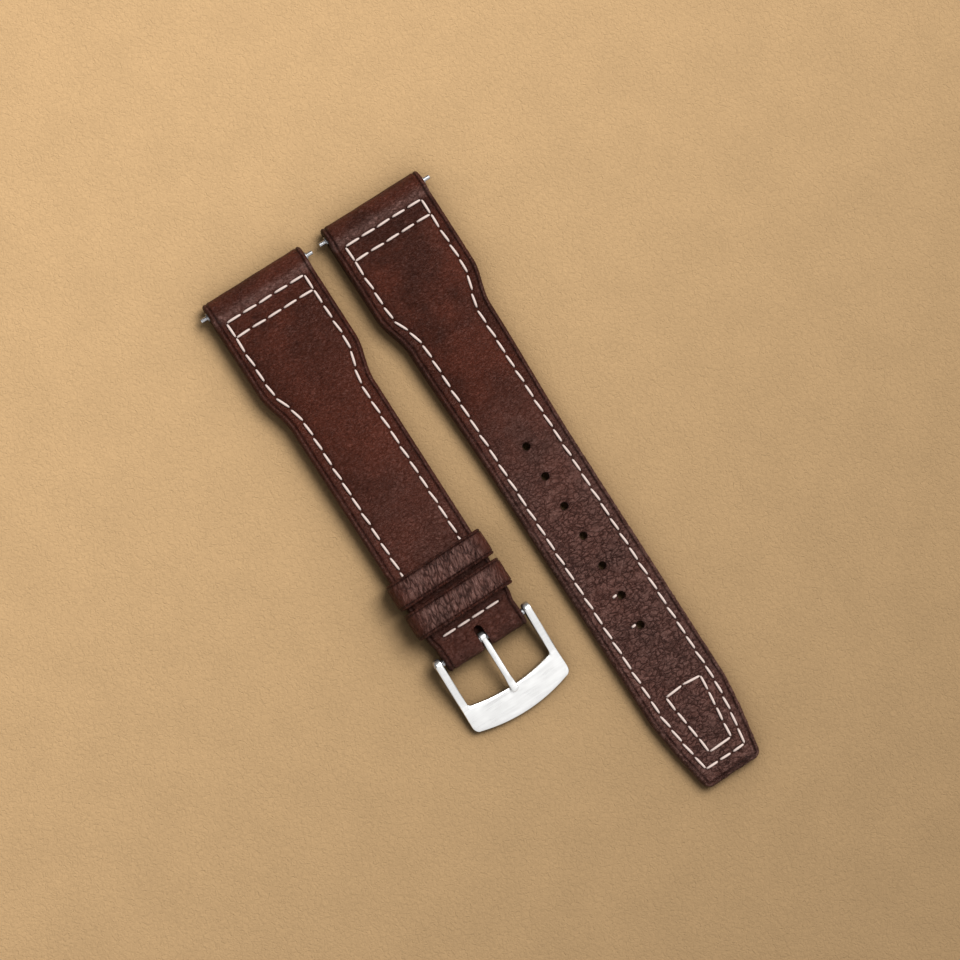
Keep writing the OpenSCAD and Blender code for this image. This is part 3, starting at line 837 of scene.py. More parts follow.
def make_cover(half, finish):
    """Top leather of one half, with its holes or with the slot for the tongue."""
    s = half.s
    stitches = sewn_stitches(half) + (tacks(half) if half.long else fold_stitches(half))
    bm = punched(grid_skin(cover_rings(half, stitches)), half, s.hole / 2)
    if not half.long:
        bm = cut_with(bm, slot_cutter(half, s.slot_from, s.lining + 0.15))
        bm = cut_with(bm, slot_cutter(half, s.slot_from + 1.1, -1))
    piece = finish_piece(f"{half.name}_leather", bm, half.place, finish, half.body,
                         f"{half.name}_cover")
    mark_leather(piece.data, half, stitches)
    grain_relief(piece.data)


def make_underside(half, finish):
    """Lining leather, pressed in a little along the stitches."""
    s, gap, step = half.s, 0.03, 0.3
    start = s.turned_to + gap
    end = s.long_length if half.long else s.hem_from - gap
    stitches = sewn_stitches(half)
    rings = []
    last = list(end - np.array([0.5, 0.25, 0.1, 0])) if half.long else [end]
    for u in [*np.linspace(start, last[0] - 0.1, round((end - start) / step)), *last]:
        width = float(half.half_width(u))
        x = across_columns(width)[::2]
        x[-1] = -width
        flat = np.full_like(x, u)
        drop = rolled(half.edge_distance(x, flat), 0.25)
        low = np.stack([x, -flat, drop + 0.16 * stitch_groove(x, flat, stitches)], axis=1)
        side = [(width, -u, 0.5), (width, -u, s.lining - 0.1), (width - 0.09, -u, s.lining)]
        rings.append(np.concatenate([
            low, [(-x, y, z) for x, y, z in side], [(0, -u, s.lining)], side[::-1],
        ]))
    bm = punched(grid_skin(rings), half, s.hole / 2)
    finish_piece(f"{half.name}_underside", bm, half.place, finish, half.body,
                 f"{half.name}_lining")


def make_padding(half, finish):
    """Felt that fills the room under the top leather."""
    s, gap, step = half.s, 0.03, 1.2
    rings = []
    start, end, low = half.pad_from + 0.5, half.pad_to - 0.5, s.lining + gap
    for u in np.linspace(start, end, round((end - start) / step)):
        side = float(half.stitch_x(u)) - s.cover / 4 - gap
        high, crown = float(half.edge_z(u)) - s.cover - gap, float(half.crown(u))
        wall = [(side, -u, mix(low, high, t)) for t in (0.1, 0.5, 0.85)]
        ring = wall + [
            (side * share * 0.985, -u, high + crown * (1 - abs(share) ** 3))
            for share in np.linspace(1, -1, 25)
        ]
        ring += [(-x, y, z) for x, y, z in wall[::-1]]
        ring += [(side * share, -u, low) for share in np.linspace(-0.97, 0.97, 15)]
        rings.append(ring)
    bm = punched(grid_skin(rings), half, s.hole * 0.7)
    piece = finish_piece(f"{half.name}_felt", bm, half.place, finish, half.body,
                         f"{half.name}_filler")


# A stitch: share along it, lift over the leather and share of its thickness
STITCH_SHAPE = [
    (-0.5, -0.3, 0.3), (-0.49, -0.12, 0.5), (-0.45, 0, 0.7), (-0.36, 0.07, 0.9), (-0.2, 0.11, 1),
    (0, 0.12, 1.04), (0.2, 0.11, 1), (0.36, 0.07, 0.9), (0.45, 0, 0.7), (0.49, -0.12, 0.5),
    (0.5, -0.3, 0.3),
]


def stitch_skin(start, end, height, thread, up):
    """One stitch: a flattened round thread whose two ends dive into the leather."""
    line = end - start
    across = np.array([-line[1], line[0]]) / np.linalg.norm(line)
    rings = []
    for share, lift, thick in STITCH_SHAPE:
        centre = (start + end) / 2 + line * share
        z = height(centre[0], centre[1]) + up * lift
        ring = []
        for k in range(8):
            a = 2 * math.pi * k / 8
            x, u = centre + across * (math.cos(a) * thread / 2 * thick)
            ring.append((x, -u, z + math.sin(a) * thread / 2 * 0.85 * thick))
        rings.append(ring)
    return grid_skin(rings)


def add_skin(whole, part, number):
    """Adds one stitch to the others, with its own number for the finish."""
    before = len(whole.verts)
    mesh = bpy.data.meshes.new("stitch")
    part.to_mesh(mesh)
    part.free()
    whole.from_mesh(mesh)
    bpy.data.meshes.remove(mesh)
    whole.verts.ensure_lookup_table()
    layer = whole.verts.layers.float.get("stitch")
    for vert in whole.verts[before:]:
        vert[layer] = number


def make_stitching(half, stitches, name, finish):
    """Lays each stitch in its groove on top, and below it, but for the tacks, in the lining."""
    thread, below = half.w.thread, 0.27
    whole = bmesh.new()
    whole.verts.layers.float.new("stitch")
    for i, (start, end) in enumerate(stitches):
        stitch = stitch_skin(start, end, lambda x, u: float(half.top(x, u)) - 0.06, thread, 1)
        add_skin(whole, stitch, i * 7 % 17 / 17)
        if np.linalg.norm(end - start) >= 1.2:
            stitch = stitch_skin(start, end, lambda x, u: below, thread * 0.9, -0.5)
            add_skin(whole, stitch, i % 13 / 13)
    finish_piece(f"{name}_stitching", whole, half.place, finish, half.body,
                 f"{name}_thread", sharp=80)


def keeper_path(sizes, inset):
    """Outline of a keeper seen along the strap, from the middle of its underside."""
    half, low, high = sizes.half - inset, -sizes.low + inset, sizes.top - inset
    radius = sizes.corner - inset + (0.7 if inset == 0 else 0)
    right, left, foot, head = half - radius, -half + radius, low + radius, high - radius
    corners = [(right, foot), (right, head), (left, head), (left, foot)]

    def on_corner(number, degrees):
        (x, z), angle = corners[number], math.radians(90 * (number - 1) + degrees)
        return np.array([x + radius * math.cos(angle), z + radius * math.sin(angle)])

    def straight(start, end, count):
        return [mix(start, end, t) for t in np.linspace(0, 1, count + 1)[:-1]]

    middle = np.array([0, low])
    points, previous = [], middle
    for number, count in enumerate((22, 16, 120, 16)):
        points += straight(previous, on_corner(number, 0), count)
        points += [on_corner(number, degrees) for degrees in np.linspace(0, 90, 11)[:-1]]
        previous = on_corner(number, 90)
    return np.array(points + straight(previous, middle, 22))


def keeper_section(width, thickness):
    """Points round the leather's cross-section: distance along the strap, depth from outside."""
    edge = 0.32
    left = [
        (edge * (1 - math.cos(a)), edge * (1 - math.sin(a)))
        for a in np.linspace(0, math.pi / 2, 5)
    ]
    left += [(v, 0) for v in (0.4, 0.48, 0.56, 0.64, 0.72, 0.82, 0.95, 1.15, 1.4, 1.65, 1.9, 2.2)]
    outside = left + [(width / 2, 0)] + [(width - v, d) for v, d in left[::-1]]
    inside = [(width - 0.05, thickness - 0.15), (width - 0.2, thickness)]
    inside += [(width * t, thickness) for t in (0.75, 0.5, 0.25)]
    return outside + inside + [(0.2, thickness), (0.05, thickness - 0.15)]


def keeper_wrinkles(x, along, z, sizes, seed):
    """Wrinkles across a keeper: 0 in each crease, about .4 between two of them."""
    point = Vector((x * 1.25 + along * 0.3, along * 0.34, seed + z))
    point += noise.noise_vector(Vector((x * 0.5, along * 0.7, seed))) * 0.5
    edge = min(along, sizes.width - along)
    return abs(noise.noise(point)) + (1 - float(smooth(edge, 0.5, 1.1))) * 0.2


def make_keeper(half, sizes, at, name, body, finish, seed):
    """A leather loop round the short half, wrinkled across and creased along its edges."""
    noise.seed_set(NOISE_SEED)
    width, thickness = sizes.width, sizes.thickness
    section = keeper_section(width, thickness)
    rings = []
    for far, near in zip(keeper_path(sizes, 0), keeper_path(sizes, thickness)):
        wander = 0.07 * noise.noise(Vector((far[0] * 0.3, far[1] * 0.3, seed)))
        ring = []
        for along, depth in section:
            edge = min(along, width - along)
            sunk = depth
            if depth == 0:
                creased = 0.18 - 0.9 * keeper_wrinkles(far[0], along, far[1], sizes, seed)
                swell = 0.06 * (1 - (2 * along / width - 1) ** 2)
                swell *= float(smooth(far[1], -0.5, 0.5))
                sunk += 0.14 * float(bump(edge - 0.5, 0.12)) - swell
                sunk += creased * float(smooth(edge, 0.4, 1.0) * smooth(far[1], 0, 4))
            x, z = mix(far, near, max(sunk, -0.06) / thickness)
            ring.append((x, -at - along - wander, z))
        rings.append(ring)
    bm = grid_skin(rings, closed_along=True)
    mesh = finish_piece(f"{name}_loop", bm, half.place, finish, body,
                        f"{name}_keeper").data
    x, u, z = half.points(mesh)
    along = u - at
    edge = np.minimum(along, width - along)
    middle = 1 - smooth(np.abs(x), sizes.half - 3.5, sizes.half - 0.5)
    # Painted shade at the creased edges and at the ends where the loop turns down; painted sheen
    # over its middle
    shade = 0.7 * bump(edge - 0.5, 0.15) + 0.3 * (1 - smooth(edge, 0.4, 1.4)) + 0.25 * (1 - middle)
    # Wrinkle creases, which the finish darkens as painted shade
    creases = [
        1 - min(keeper_wrinkles(*point, sizes, seed) * 6, 1) for point in zip(x, along, z)
    ]
    mark(
        mesh, grain=0.55 + 0.45 * middle, shade=np.clip(shade, 0, 1),
        rubbed=0.1 + 0.9 * middle * smooth(edge, 0.3, 1.2), warm=0.9 * (1 - middle),
        fold=np.array(creases) * middle,
    )


def buckle_place():
    """The bar of the buckle, with the frame turned down until its front lies on the table."""
    bar = Vector(JOINTS["frame_hinge"]["pos_m"]) / MM
    sizes = in_mm(bpy.context.scene.strap_buckle)
    reach = sizes.front_out + sizes.front_bow_out
    low = sizes.arm_height / 2
    fall = math.asin(bar.z / math.hypot(reach, low)) - math.atan2(low, reach)
    return Matrix.Translation(bar) @ Matrix.Rotation(fall, 4, "X")


def bow_depth(x, half, depth, bow):
    """Depth of a bowed edge at x."""
    radius = (half * half + bow * bow) / (2 * bow)
    return depth + bow - radius + math.sqrt(max(radius * radius - x * x, 0))


def frame_line(half, depth, bow, corner, back, arms):
    """Plan of one side of the frame: down the left arm, round the front, up the right arm."""
    points = [(-half, mix(-back, depth - corner, t)) for t in arms]
    low = bow_depth(half - corner, half, depth, bow)
    for angle in math.pi / 2 * np.linspace(0, 1, 7)[1:-1]:
        points.append((-half + corner * (1 - math.cos(angle)),
                       mix(depth - corner, low, math.sin(angle))))
    mirrored = [(-x, y) for x, y in points[::-1]]
    for t in np.linspace(-1, 1, 45):
        x = t * (half - corner)
        points.append((x, bow_depth(x, half, depth, bow)))
    return points + mirrored


def mark_painted_reflection(mesh, strength=1.0):
    """Marks the narrow sides of a steel piece, where the finish paints a dark reflection of the
    leather and table.
    """
    upward = np.array([v.vector.z for v in mesh.vertex_normals])
    mark(mesh, side=strength * (1 - smooth(upward, 0.1, 0.85)))


def make_frame(finish):
    """Frame of the buckle: two round-backed arms and a bowed front bar."""
    sizes = in_mm(bpy.context.scene.strap_buckle)
    radius = sizes.arm_height / 2
    arms = np.concatenate([
        (1 - np.cos(np.linspace(0, math.pi / 2, 11))) * 0.11, np.linspace(0.11, 1, 17)[1:],
    ])
    inner = frame_line(sizes.arm_in, sizes.front_in, sizes.front_bow_in, 0.5, radius, arms)
    outer = frame_line(sizes.arm_out, sizes.front_out, sizes.front_bow_out, 1.1, radius, arms)
    front_top = sizes.front_thick - radius

    def top_at(depth):
        if depth < 0:
            return math.sqrt(max(radius**2 - depth**2, 0))
        knee = (radius + front_top) / 2
        if depth < sizes.front_in / 2:
            return mix(radius, knee, depth / (sizes.front_in / 2))
        return max(mix(knee, front_top, (depth / sizes.front_in - 0.5) / 0.45), front_top)

    def low_at(depth):
        return -math.sqrt(max(radius**2 - depth**2, 0)) if depth < 0 else -radius

    rings = []
    for (xi, di), (xo, do) in zip(inner, outer):
        round_edge = mix(0.36, 0.17, smooth(di, sizes.front_in * 0.6, sizes.front_in))
        tip = 1 - min((di + radius) / (radius - sizes.bore - 0.1), 1)
        pinch = 0.3 * (1 - math.sqrt(1 - tip**2))
        inside = np.array([xi + math.copysign(pinch, xi), di])
        outside = np.array([xo - math.copysign(pinch, xo), do])
        edge = min(round_edge / np.linalg.norm(outside - inside), 0.4)
        steps = [(0, 1), (edge * 0.3, 0.3), (edge, 0)]
        middle = np.linspace(edge, 1 - edge, 9)[1:-1]
        across = steps + [(t, 0) for t in middle] + [(1 - t, d) for t, d in steps[::-1]]
        ring = []
        for row, limit in ((across, max), (across[::-1], min)):
            for t, d in row:
                x, depth = mix(inside, outside, t)
                high, low = top_at(depth), low_at(depth)
                z = high - round_edge * d if limit is max else low + round_edge * d
                ring.append((x, -depth, limit(z, (high + low) / 2)))
        rings.append(ring)
    bore = bmesh.new()
    bmesh.ops.create_cone(
        bore, cap_ends=True, segments=32, radius1=sizes.bore, radius2=sizes.bore,
        depth=2 * sizes.arm_out + 2, matrix=Matrix.Rotation(math.pi / 2, 4, "Y"),
    )
    piece = finish_piece("buckle_bow", cut_with(grid_skin(rings), bore), buckle_place(), finish,
                         "buckle_frame", "buckle_frame", sharp=32)
    mark_painted_reflection(piece.data)


def squarish(value, power):
    """A sine or cosine pushed outward, for a circle with flattened sides."""
    return math.copysign(abs(value) ** power, value)


def make_tongue(finish):
    """Tongue of the buckle: a bar with rounded edges and tip, on an eye."""
    sizes = in_mm(bpy.context.scene.strap_buckle)
    half, low, thick = sizes.tongue_width / 2, sizes.tongue_low, sizes.tongue_thick
    reach, tip = sizes.tongue_length, 0.6
    rings = []
    stations = [*np.linspace(0.2, reach - tip, 34),
                *(reach - tip + tip * np.sin(np.linspace(0, math.pi / 2, 9)[1:]))]
    for depth in stations:
        near_tip = smooth(depth, reach - 3.2, reach - 1.6)
        end = max(depth - reach + tip, 0) / tip
        closing = math.sqrt(max(1 - end * end, 0))
        wide = half * (1 + 0.16 * near_tip) * max(closing, 0.05)
        high = low + thick * (1 - 0.22 * near_tip - 0.25 * (1 - closing))
        rings.append([
            (wide * squarish(math.cos(a), 0.42), -depth,
             (high + low) / 2 + (high - low) / 2 * squarish(math.sin(a), 0.42))
            for a in np.linspace(0, 2 * math.pi, 25)[:-1]
        ])
    eye = bmesh.new()
    bmesh.ops.create_circle(eye, cap_ends=False, segments=16, radius=1)
    middle, wall = (sizes.eye_in + sizes.eye_out) / 2, (sizes.eye_out - sizes.eye_in) / 2
    for vert in eye.verts:
        x, y = vert.co.x, vert.co.y
        vert.co = (half * squarish(x, 0.4), 0, middle + wall * squarish(y, 0.4))
    bmesh.ops.spin(eye, geom=eye.verts[:] + eye.edges[:], cent=(0, 0, 0), axis=(1, 0, 0),
                   angle=2 * math.pi, steps=48, use_merge=True)
    bmesh.ops.remove_doubles(eye, verts=eye.verts, dist=MERGE_MM)
    bmesh.ops.recalc_face_normals(eye, faces=eye.faces)
    bm = cut_with(grid_skin(rings), eye, "UNION")
    piece = finish_piece("tongue", bm, buckle_place(), finish, "buckle_tongue",
                         "buckle_tongue", sharp=35)
    mark_painted_reflection(piece.data, 0.7)


def make_spring(bar, side, reach, radius, sizes, finish):
    """Half a coil spring, from the middle of the bar out towards the pin at its outer end."""
    place = Matrix.Translation(Vector(JOINTS[f"{bar}_bar_spin"]["pos_m"]) / MM)
    way = -1 if side == "left" else 1
    start, end = way * 0.02, way * reach
    turns = abs(end - start) / sizes.coil_pitch
    steps = round(turns * 18)
    quarter = math.pi / 2
    bm = bmesh.new()
    bmesh.ops.create_circle(
        bm, cap_ends=False, segments=7, radius=sizes.wire / 2,
        matrix=Matrix.Translation((start, 0, radius))
        @ Matrix.Rotation(quarter, 4, "Y") @ Matrix.Rotation(quarter, 4, "X"),
    )
    bmesh.ops.spin(bm, geom=bm.verts[:] + bm.edges[:], cent=(0, 0, 0), axis=(1, 0, 0),
                   dvec=((end - start) / steps, 0, 0), angle=2 * math.pi * turns, steps=steps)
    piece = finish_piece(f"{bar}_coil_{side}", closed(bm), place, finish, f"{bar}_bar",
                         f"{bar}_bar_spring", sharp=60)
    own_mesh(piece)


# Finishes


def shaded(paint, share):
    """A colour made darker, or brighter with a share over 1."""
    return tuple(v * share for v in paint)


class Nodes:
    """Adds shader nodes to one tree; its methods give an output of the node they add."""

    def __init__(self, tree):
        self.tree = tree

    def add(self, kind, inputs=None, output=0, **settings):
        """Any node, with its inputs set or linked."""
        made = self.tree.nodes.new("ShaderNode" + kind)
        for name, value in settings.items():
            setattr(made, name, value)
        for name, value in (inputs or {}).items():
            if isinstance(value, bpy.types.NodeSocket):
                self.tree.links.new(value, made.inputs[name])
            else:
                made.inputs[name].default_value = value
        return made.outputs[output]

    def calc(self, operation, a, b=0.0, c=0.0):
        return self.add("Math", {0: a, 1: b, 2: c}, operation=operation)

    def times(self, a, b):
        return self.calc("MULTIPLY", a, b)

    def times_plus(self, a, b, c):
        """a times b, plus c."""
        return self.calc("MULTIPLY_ADD", a, b, c)

    def less(self, a, b):
        return self.calc("SUBTRACT", a, b)

    def power(self, a, b):
        return self.calc("POWER", a, b)

    def most(self, a, b):
        return self.calc("MAXIMUM", a, b)

    def ramp(self, value, low, high, to_low=0.0, to_high=1.0):
        """A soft step between two values."""
        ends = {"From Min": low, "From Max": high, "To Min": to_low, "To Max": to_high}
        return self.add("MapRange", {"Value": value, **ends}, interpolation_type="SMOOTHSTEP")

    def noise(self, point, scale, detail=2.0, output=0, **more):
        return self.add("TexNoise", {"Vector": point, "Scale": scale, "Detail": detail, **more},
                        output)

    def cells(self, point, scale, feature="DISTANCE_TO_EDGE"):
        return self.add("TexVoronoi", {"Vector": point, "Scale": scale}, feature=feature)

    def vector(self, operation, a, b, c=(0, 0, 0), output="Vector"):
        return self.add("VectorMath", {0: a, 1: b, 2: c}, output, operation=operation)

    def attribute(self, name):
        return self.add("Attribute", output="Fac", attribute_name=name)

    def tint(self, share, first, second, kind="MIX"):
        """Mixes two colours."""
        first, second = (
            v if isinstance(v, bpy.types.NodeSocket) else (*v, 1) for v in (first, second)
        )
        return self.add("Mix", {0: share, 6: first, 7: second}, 2, data_type="RGBA",
                        blend_type=kind)

    def point(self, stretch=(1, 1, 1), turn=0):
        """Object coordinates in millimetres, turned about Z and stretched."""
        point = self.add("TexCoord", output="Object")
        if turn:
            point = self.add("VectorRotate", {"Vector": point, "Angle": turn},
                             rotation_type="Z_AXIS")
        return self.add("Mapping", {"Vector": point, "Scale": tuple(v / MM for v in stretch)})

    def warped(self, point, scale, reach):
        """The point, pushed about by noise of the given scale."""
        push = self.vector("SUBTRACT", self.noise(point, scale, output="Color"), (0.5, 0.5, 0.5))
        return self.vector("MULTIPLY_ADD", push, (reach, reach, reach), point)


class Finish(Nodes):
    """A material whose shader is fed by nodes."""

    def __init__(self, name, **sockets):
        self.material = bpy.data.materials.new(name)
        self.material.use_nodes = True
        super().__init__(self.material.node_tree)
        self.shader = self.tree.nodes["Principled BSDF"]
        for socket, value in sockets.items():
            self.shader.inputs[socket.replace("_", " ")].default_value = value

    def done(self, base, height, depth, rough=None):
        """The material with its colour, its bump of the given depth in mm and its roughness."""
        dent = self.add("Bump", {"Height": height, "Distance": depth * MM, "Strength": 1.0})
        for name, value in (("Base Color", base), ("Normal", dent), ("Roughness", rough)):
            if value is not None:
                self.tree.links.new(value, self.shader.inputs[name])
        return self.material


def leather_finish(name, colours, stretch=(0.8, 1.3, 1), turn=0, cells=1.05):
    """Dark brown leather: cloudy dye, cracked and pebbled grain, painted sheen and highlights on
    raised grain, painted shade in grooves and creases.
    """
    f = Finish(name, Roughness=0.4, Specular_IOR_Level=0.13)
    point, plain = f.point(stretch, turn), f.point()
    bent = f.warped(f.warped(point, 0.5, 1.9), 1.7, 0.5)
    folds, pebbles = f.cells(bent, cells), f.cells(bent, cells * 2.1)
    where, soft = f.noise(point, 0.42), f.noise(point, 0.9)
    curls = f.noise(point, 1.3, Distortion=2.0)
    fine = f.noise(point, 2.4, 5.0, Roughness=0.6, Distortion=0.5)
    clouds, patches = f.noise(plain, 0.12, 4.0), f.noise(plain, 0.3, 3.0)
    grain, shade, rubbed, pressed, warm = map(
        f.attribute, ("grain", "shade", "rubbed", "fold", "warm")
    )

    cracked = f.ramp(where, 0.27, 0.47)
    plate = f.times(f.ramp(folds, 0.0, 0.42, 1.0, 0.0), cracked)
    pebble = f.ramp(pebbles, 0.0, 0.38, 1.0, 0.0)
    pebble = f.times(pebble, f.ramp(soft, 0.32, 0.55, 0.2, 1.0))
    curl = f.ramp(f.calc("ABSOLUTE", f.less(curls, 0.5)), 0.0, 0.1, 1.0, 0.0)
    curl = f.times(curl, f.times_plus(grain, -0.1, 0.42))
    sunk = f.times_plus(pebble, 0.45, f.times(plate, 0.9))
    sunk = f.times_plus(sunk, grain, curl)
    height = f.less(f.times(fine, f.times_plus(grain, 0.4, 0.85)), sunk)

    base = f.tint(f.ramp(clouds, 0.4, 0.68), colours.leather, colours.leather_red)
    base = f.tint(f.ramp(patches, 0.52, 0.74, 0.0, 0.3), base, colours.leather_deep)
    base = f.tint(f.ramp(patches, 0.46, 0.3, 0.0, 0.35), base, colours.leather_red)
    base = f.tint(f.times(warm, 0.75), base, colours.leather_red)
    # Painted sheen: lighter, greyer leather where the sheen is marked
    base = f.tint(f.times(rubbed, 0.33), base, colours.leather_worn)
    # Painted highlights on the raised fine grain, stronger with the painted sheen and none in
    # cracked plates or folds
    painted_highlight = f.times_plus(f.ramp(fine, 0.4, 0.62), 0.4, 0.3)
    painted_highlight = f.times(painted_highlight, f.less(1.0, f.power(f.most(plate, pressed), 1.7)))
    painted_highlight = f.times_plus(f.ramp(fine, 0.48, 0.66), 0.14, f.times(painted_highlight, rubbed))
    base = f.tint(painted_highlight, base, colours.leather_worn)
    # Painted shade in the dips of the fine grain
    painted_pit_shade = f.times(f.ramp(fine, 0.48, 0.3, 0.0, 0.4), f.times_plus(grain, 0.5, 0.9))
    base = f.tint(painted_pit_shade, base, colours.leather_deep)
    # Painted shade in the cracks, pebble edges, curls and folds of the grain
    crease = f.times(f.times(f.ramp(folds, 0.0, 0.2, 1.0, 0.0), cracked), grain)
    crease = f.most(crease, f.times(f.power(pebble, 2.0), f.times(grain, 0.42)))
    dark = f.most(f.most(crease, curl), f.times(f.power(pressed, 1.5), 0.62))
    base = f.tint(f.times(dark, 0.78), base, colours.leather_deep)
    # Painted shade from the marked grooves, creases, edges and hole walls; on the walls also the
    # dark paint of cut edges
    base = f.tint(f.times(shade, 0.75), base, colours.leather_deep)
    rough = f.times_plus(rubbed, -0.04, f.ramp(fine, 0.3, 0.7, 0.36, 0.46))
    return f.done(base, height, 0.22, rough)


def lining_finish(name, colours):
    """Lighter leather with pores."""
    f = Finish(name, Roughness=0.7)
    point, brown = f.point(), colours.lining
    fine = f.noise(point, 4.0, 5.0)
    pore = f.ramp(f.cells(point, 2.4, "F1"), 0.05, 0.3)
    base = f.tint(f.ramp(f.noise(point, 0.3, 4.0), 0.35, 0.65), shaded(brown, 0.8), brown)
    base = f.tint(f.less(1.0, pore), base, shaded(brown, 0.55))
    return f.done(base, f.times_plus(fine, 0.6, pore), 0.03, f.ramp(fine, 0.3, 0.7, 0.6, 0.8))


def felt_finish(name, colours):
    """Pale pressed felt."""
    f = Finish(name, Roughness=0.95)
    hairs = f.noise(f.point(), 3.0, 6.0, Distortion=2.0)
    base = f.tint(f.ramp(hairs, 0.3, 0.7), shaded(colours.felt, 0.7), colours.felt)
    return f.done(base, hairs, 0.08)


def thread_finish(name, colours):
    """Waxed thread: each stitch a little different, with fine strands."""
    f = Finish(name, Roughness=0.55, Sheen_Weight=0.15)
    strands = f.noise(f.point(), 7.0, 3.0, Distortion=0.6)
    base = f.tint(f.ramp(strands, 0.3, 0.7), shaded(colours.thread, 0.88), colours.thread)
    base = f.tint(f.times(f.attribute("stitch"), 0.2), base, (0.72, 0.56, 0.5))
    return f.done(base, strands, 0.04, f.ramp(strands, 0.3, 0.7, 0.45, 0.65))


def steel_finish(name, colours, steel, stretch, rough, depth):
    """Steel with fine lines along the way that isn't stretched, and a painted dark reflection on
    its narrow sides.
    """
    f = Finish(name, Metallic=1.0, Roughness=rough)
    bright = getattr(colours, steel)
    lines = f.noise(f.point(stretch), 1.0, 4.0, Roughness=0.6)
    cloudy = f.ramp(f.noise(f.point(), 0.35), 0.3, 0.7)
    base = f.tint(f.ramp(lines, 0.3, 0.7), shaded(bright, 0.96), bright)
    # Painted reflection: the narrow sides darkened as if they mirrored the leather and table
    base = f.tint(f.attribute("side"), base, shaded(bright, 0.3))
    gloss = f.times_plus(cloudy, 0.08, f.ramp(lines, 0.3, 0.7, rough - 0.05, rough + 0.07))
    return f.done(base, lines, depth, gloss)


TURNED = {"steel": "bar", "stretch": (9, 1, 1), "rough": 0.25, "depth": 0.003}
FINISHES = {
    "grained_leather": (leather_finish, {}),
    "keeper_leather": (leather_finish, {"stretch": (1.25, 0.42, 1), "turn": 0.24, "cells": 0.9}),
    "lining_leather": (lining_finish, {}),
    "pressed_felt": (felt_finish, {}),
    "waxed_thread": (thread_finish, {}),
    "brushed_steel": (
        steel_finish,
        {"steel": "buckle", "stretch": (0.25, 7, 7), "rough": 0.3, "depth": 0.002},
    ),
    "turned_steel": (steel_finish, TURNED),
    "spring_wire": (steel_finish, TURNED),
}


def finish_of(context, name):
    """The finish of that name, made when it is first asked for."""
    make, settings = FINISHES[name]
    colours = context.scene.strap_colours
    return bpy.data.materials.get(name) or make(name, colours, **settings)


# Stage, in metres

FLOOR_REACH = 3
FLOOR_GAP = 2e-5
KEY_PLACE = Vector((1.24, 0.53, 2.22))
CAMERA_AIM = Vector((0.0022541, 0.0074633, 0.002))
CAMERA_DISTANCE = 0.5
CAMERA_RIGHT = Vector((0.83635, -0.54078, 0.08989))
CAMERA_BACK = Vector((-0.1088, -0.00302, 0.99406))
LENS_MM, SENSOR_MM = 110.44, 36


def lay_floor(scene, paper):
    """A sheet of mottled paper, with a painted falloff of light across its colour and painted shade
    near the strap.
    """
    bm = bmesh.new()
    bmesh.ops.create_grid(bm, x_segments=1, y_segments=1, size=FLOOR_REACH)
    bmesh.ops.translate(bm, verts=bm.verts, vec=(0, 0, -FLOOR_GAP))
    mesh = bpy.data.meshes.new("floor")
    bm.to_mesh(mesh)
    bm.free()
    f = Finish("floor_paper", Roughness=0.9, Specular_IOR_Level=0.2)
    point, lighter = f.point(), (1.2, 1.2, 1.2)
    mottle, fibres = f.noise(point, 0.12, 5.0), f.noise(point, 1.6, 5.0, Distortion=1.2)
    # Painted falloff of light: the paper lighter towards -X and +Y, darker the other way
    painted_light_falloff = f.vector("DOT_PRODUCT", point, (-0.34, 1.2, 0.0), output="Value")
    base = f.tint(f.ramp(painted_light_falloff, -170.0, 170.0), shaded(paper, 0.61), shaded(paper, 1.14))
    base = f.tint(f.ramp(mottle, 0.3, 0.7, 0.25, 0.0), base, lighter, "MULTIPLY")
    base = f.tint(f.ramp(fibres, 0.35, 0.65, 0.3, 0.0), base, lighter, "MULTIPLY")
    # Painted contact shade: the paper darkened where the strap and buckle hide the sky from it
    open_to_sky = f.add("AmbientOcclusion", {"Distance": 0.014}, samples=8)
    painted_contact_shade = f.less(1.0, f.power(open_to_sky, 1.5))
    base = f.tint(painted_contact_shade, base, (0.36, 0.35, 0.33), "MULTIPLY")
    mesh.materials.append(f.done(base, fibres, 0.22))
    floor = bpy.data.objects.new("floor", mesh)
    scene.collection.objects.link(floor)


def set_key(scene, settings):
    """The soft lamp, turned towards the strap."""
    lamp = bpy.data.lights.new("key", "AREA")
    lamp.energy, lamp.size = settings.key_power, settings.key_size
    key = bpy.data.objects.new("key", lamp)
    key.location = KEY_PLACE
    key.rotation_euler = (-key.location).to_track_quat("-Z", "Y").to_euler()
    scene.collection.objects.link(key)


def set_sky(scene, even):
    """Even light, with a pale background that metal reflects brighter towards the buckle's end."""
    scene.world = scene.world or bpy.data.worlds.new("sky")
    scene.world.use_nodes = True
    n = Nodes(scene.world.node_tree)
    n.tree.nodes.clear()
    way = n.add("SeparateXYZ", {0: n.add("TexCoord", output="Generated")}, "Y")
    reflected = n.ramp(way, -0.28, -0.06, 1.0, 0.2)
    seen = n.times_plus(n.add("LightPath", output="Is Camera Ray"), 0.95 - even, even)
    gloss = n.times(n.add("LightPath", output="Is Glossy Ray"), n.less(reflected, even))
    background = n.add("Background", {"Strength": n.calc("ADD", seen, gloss)})
    output = n.tree.nodes.new("ShaderNodeOutputWorld")
    n.tree.links.new(background, output.inputs["Surface"])


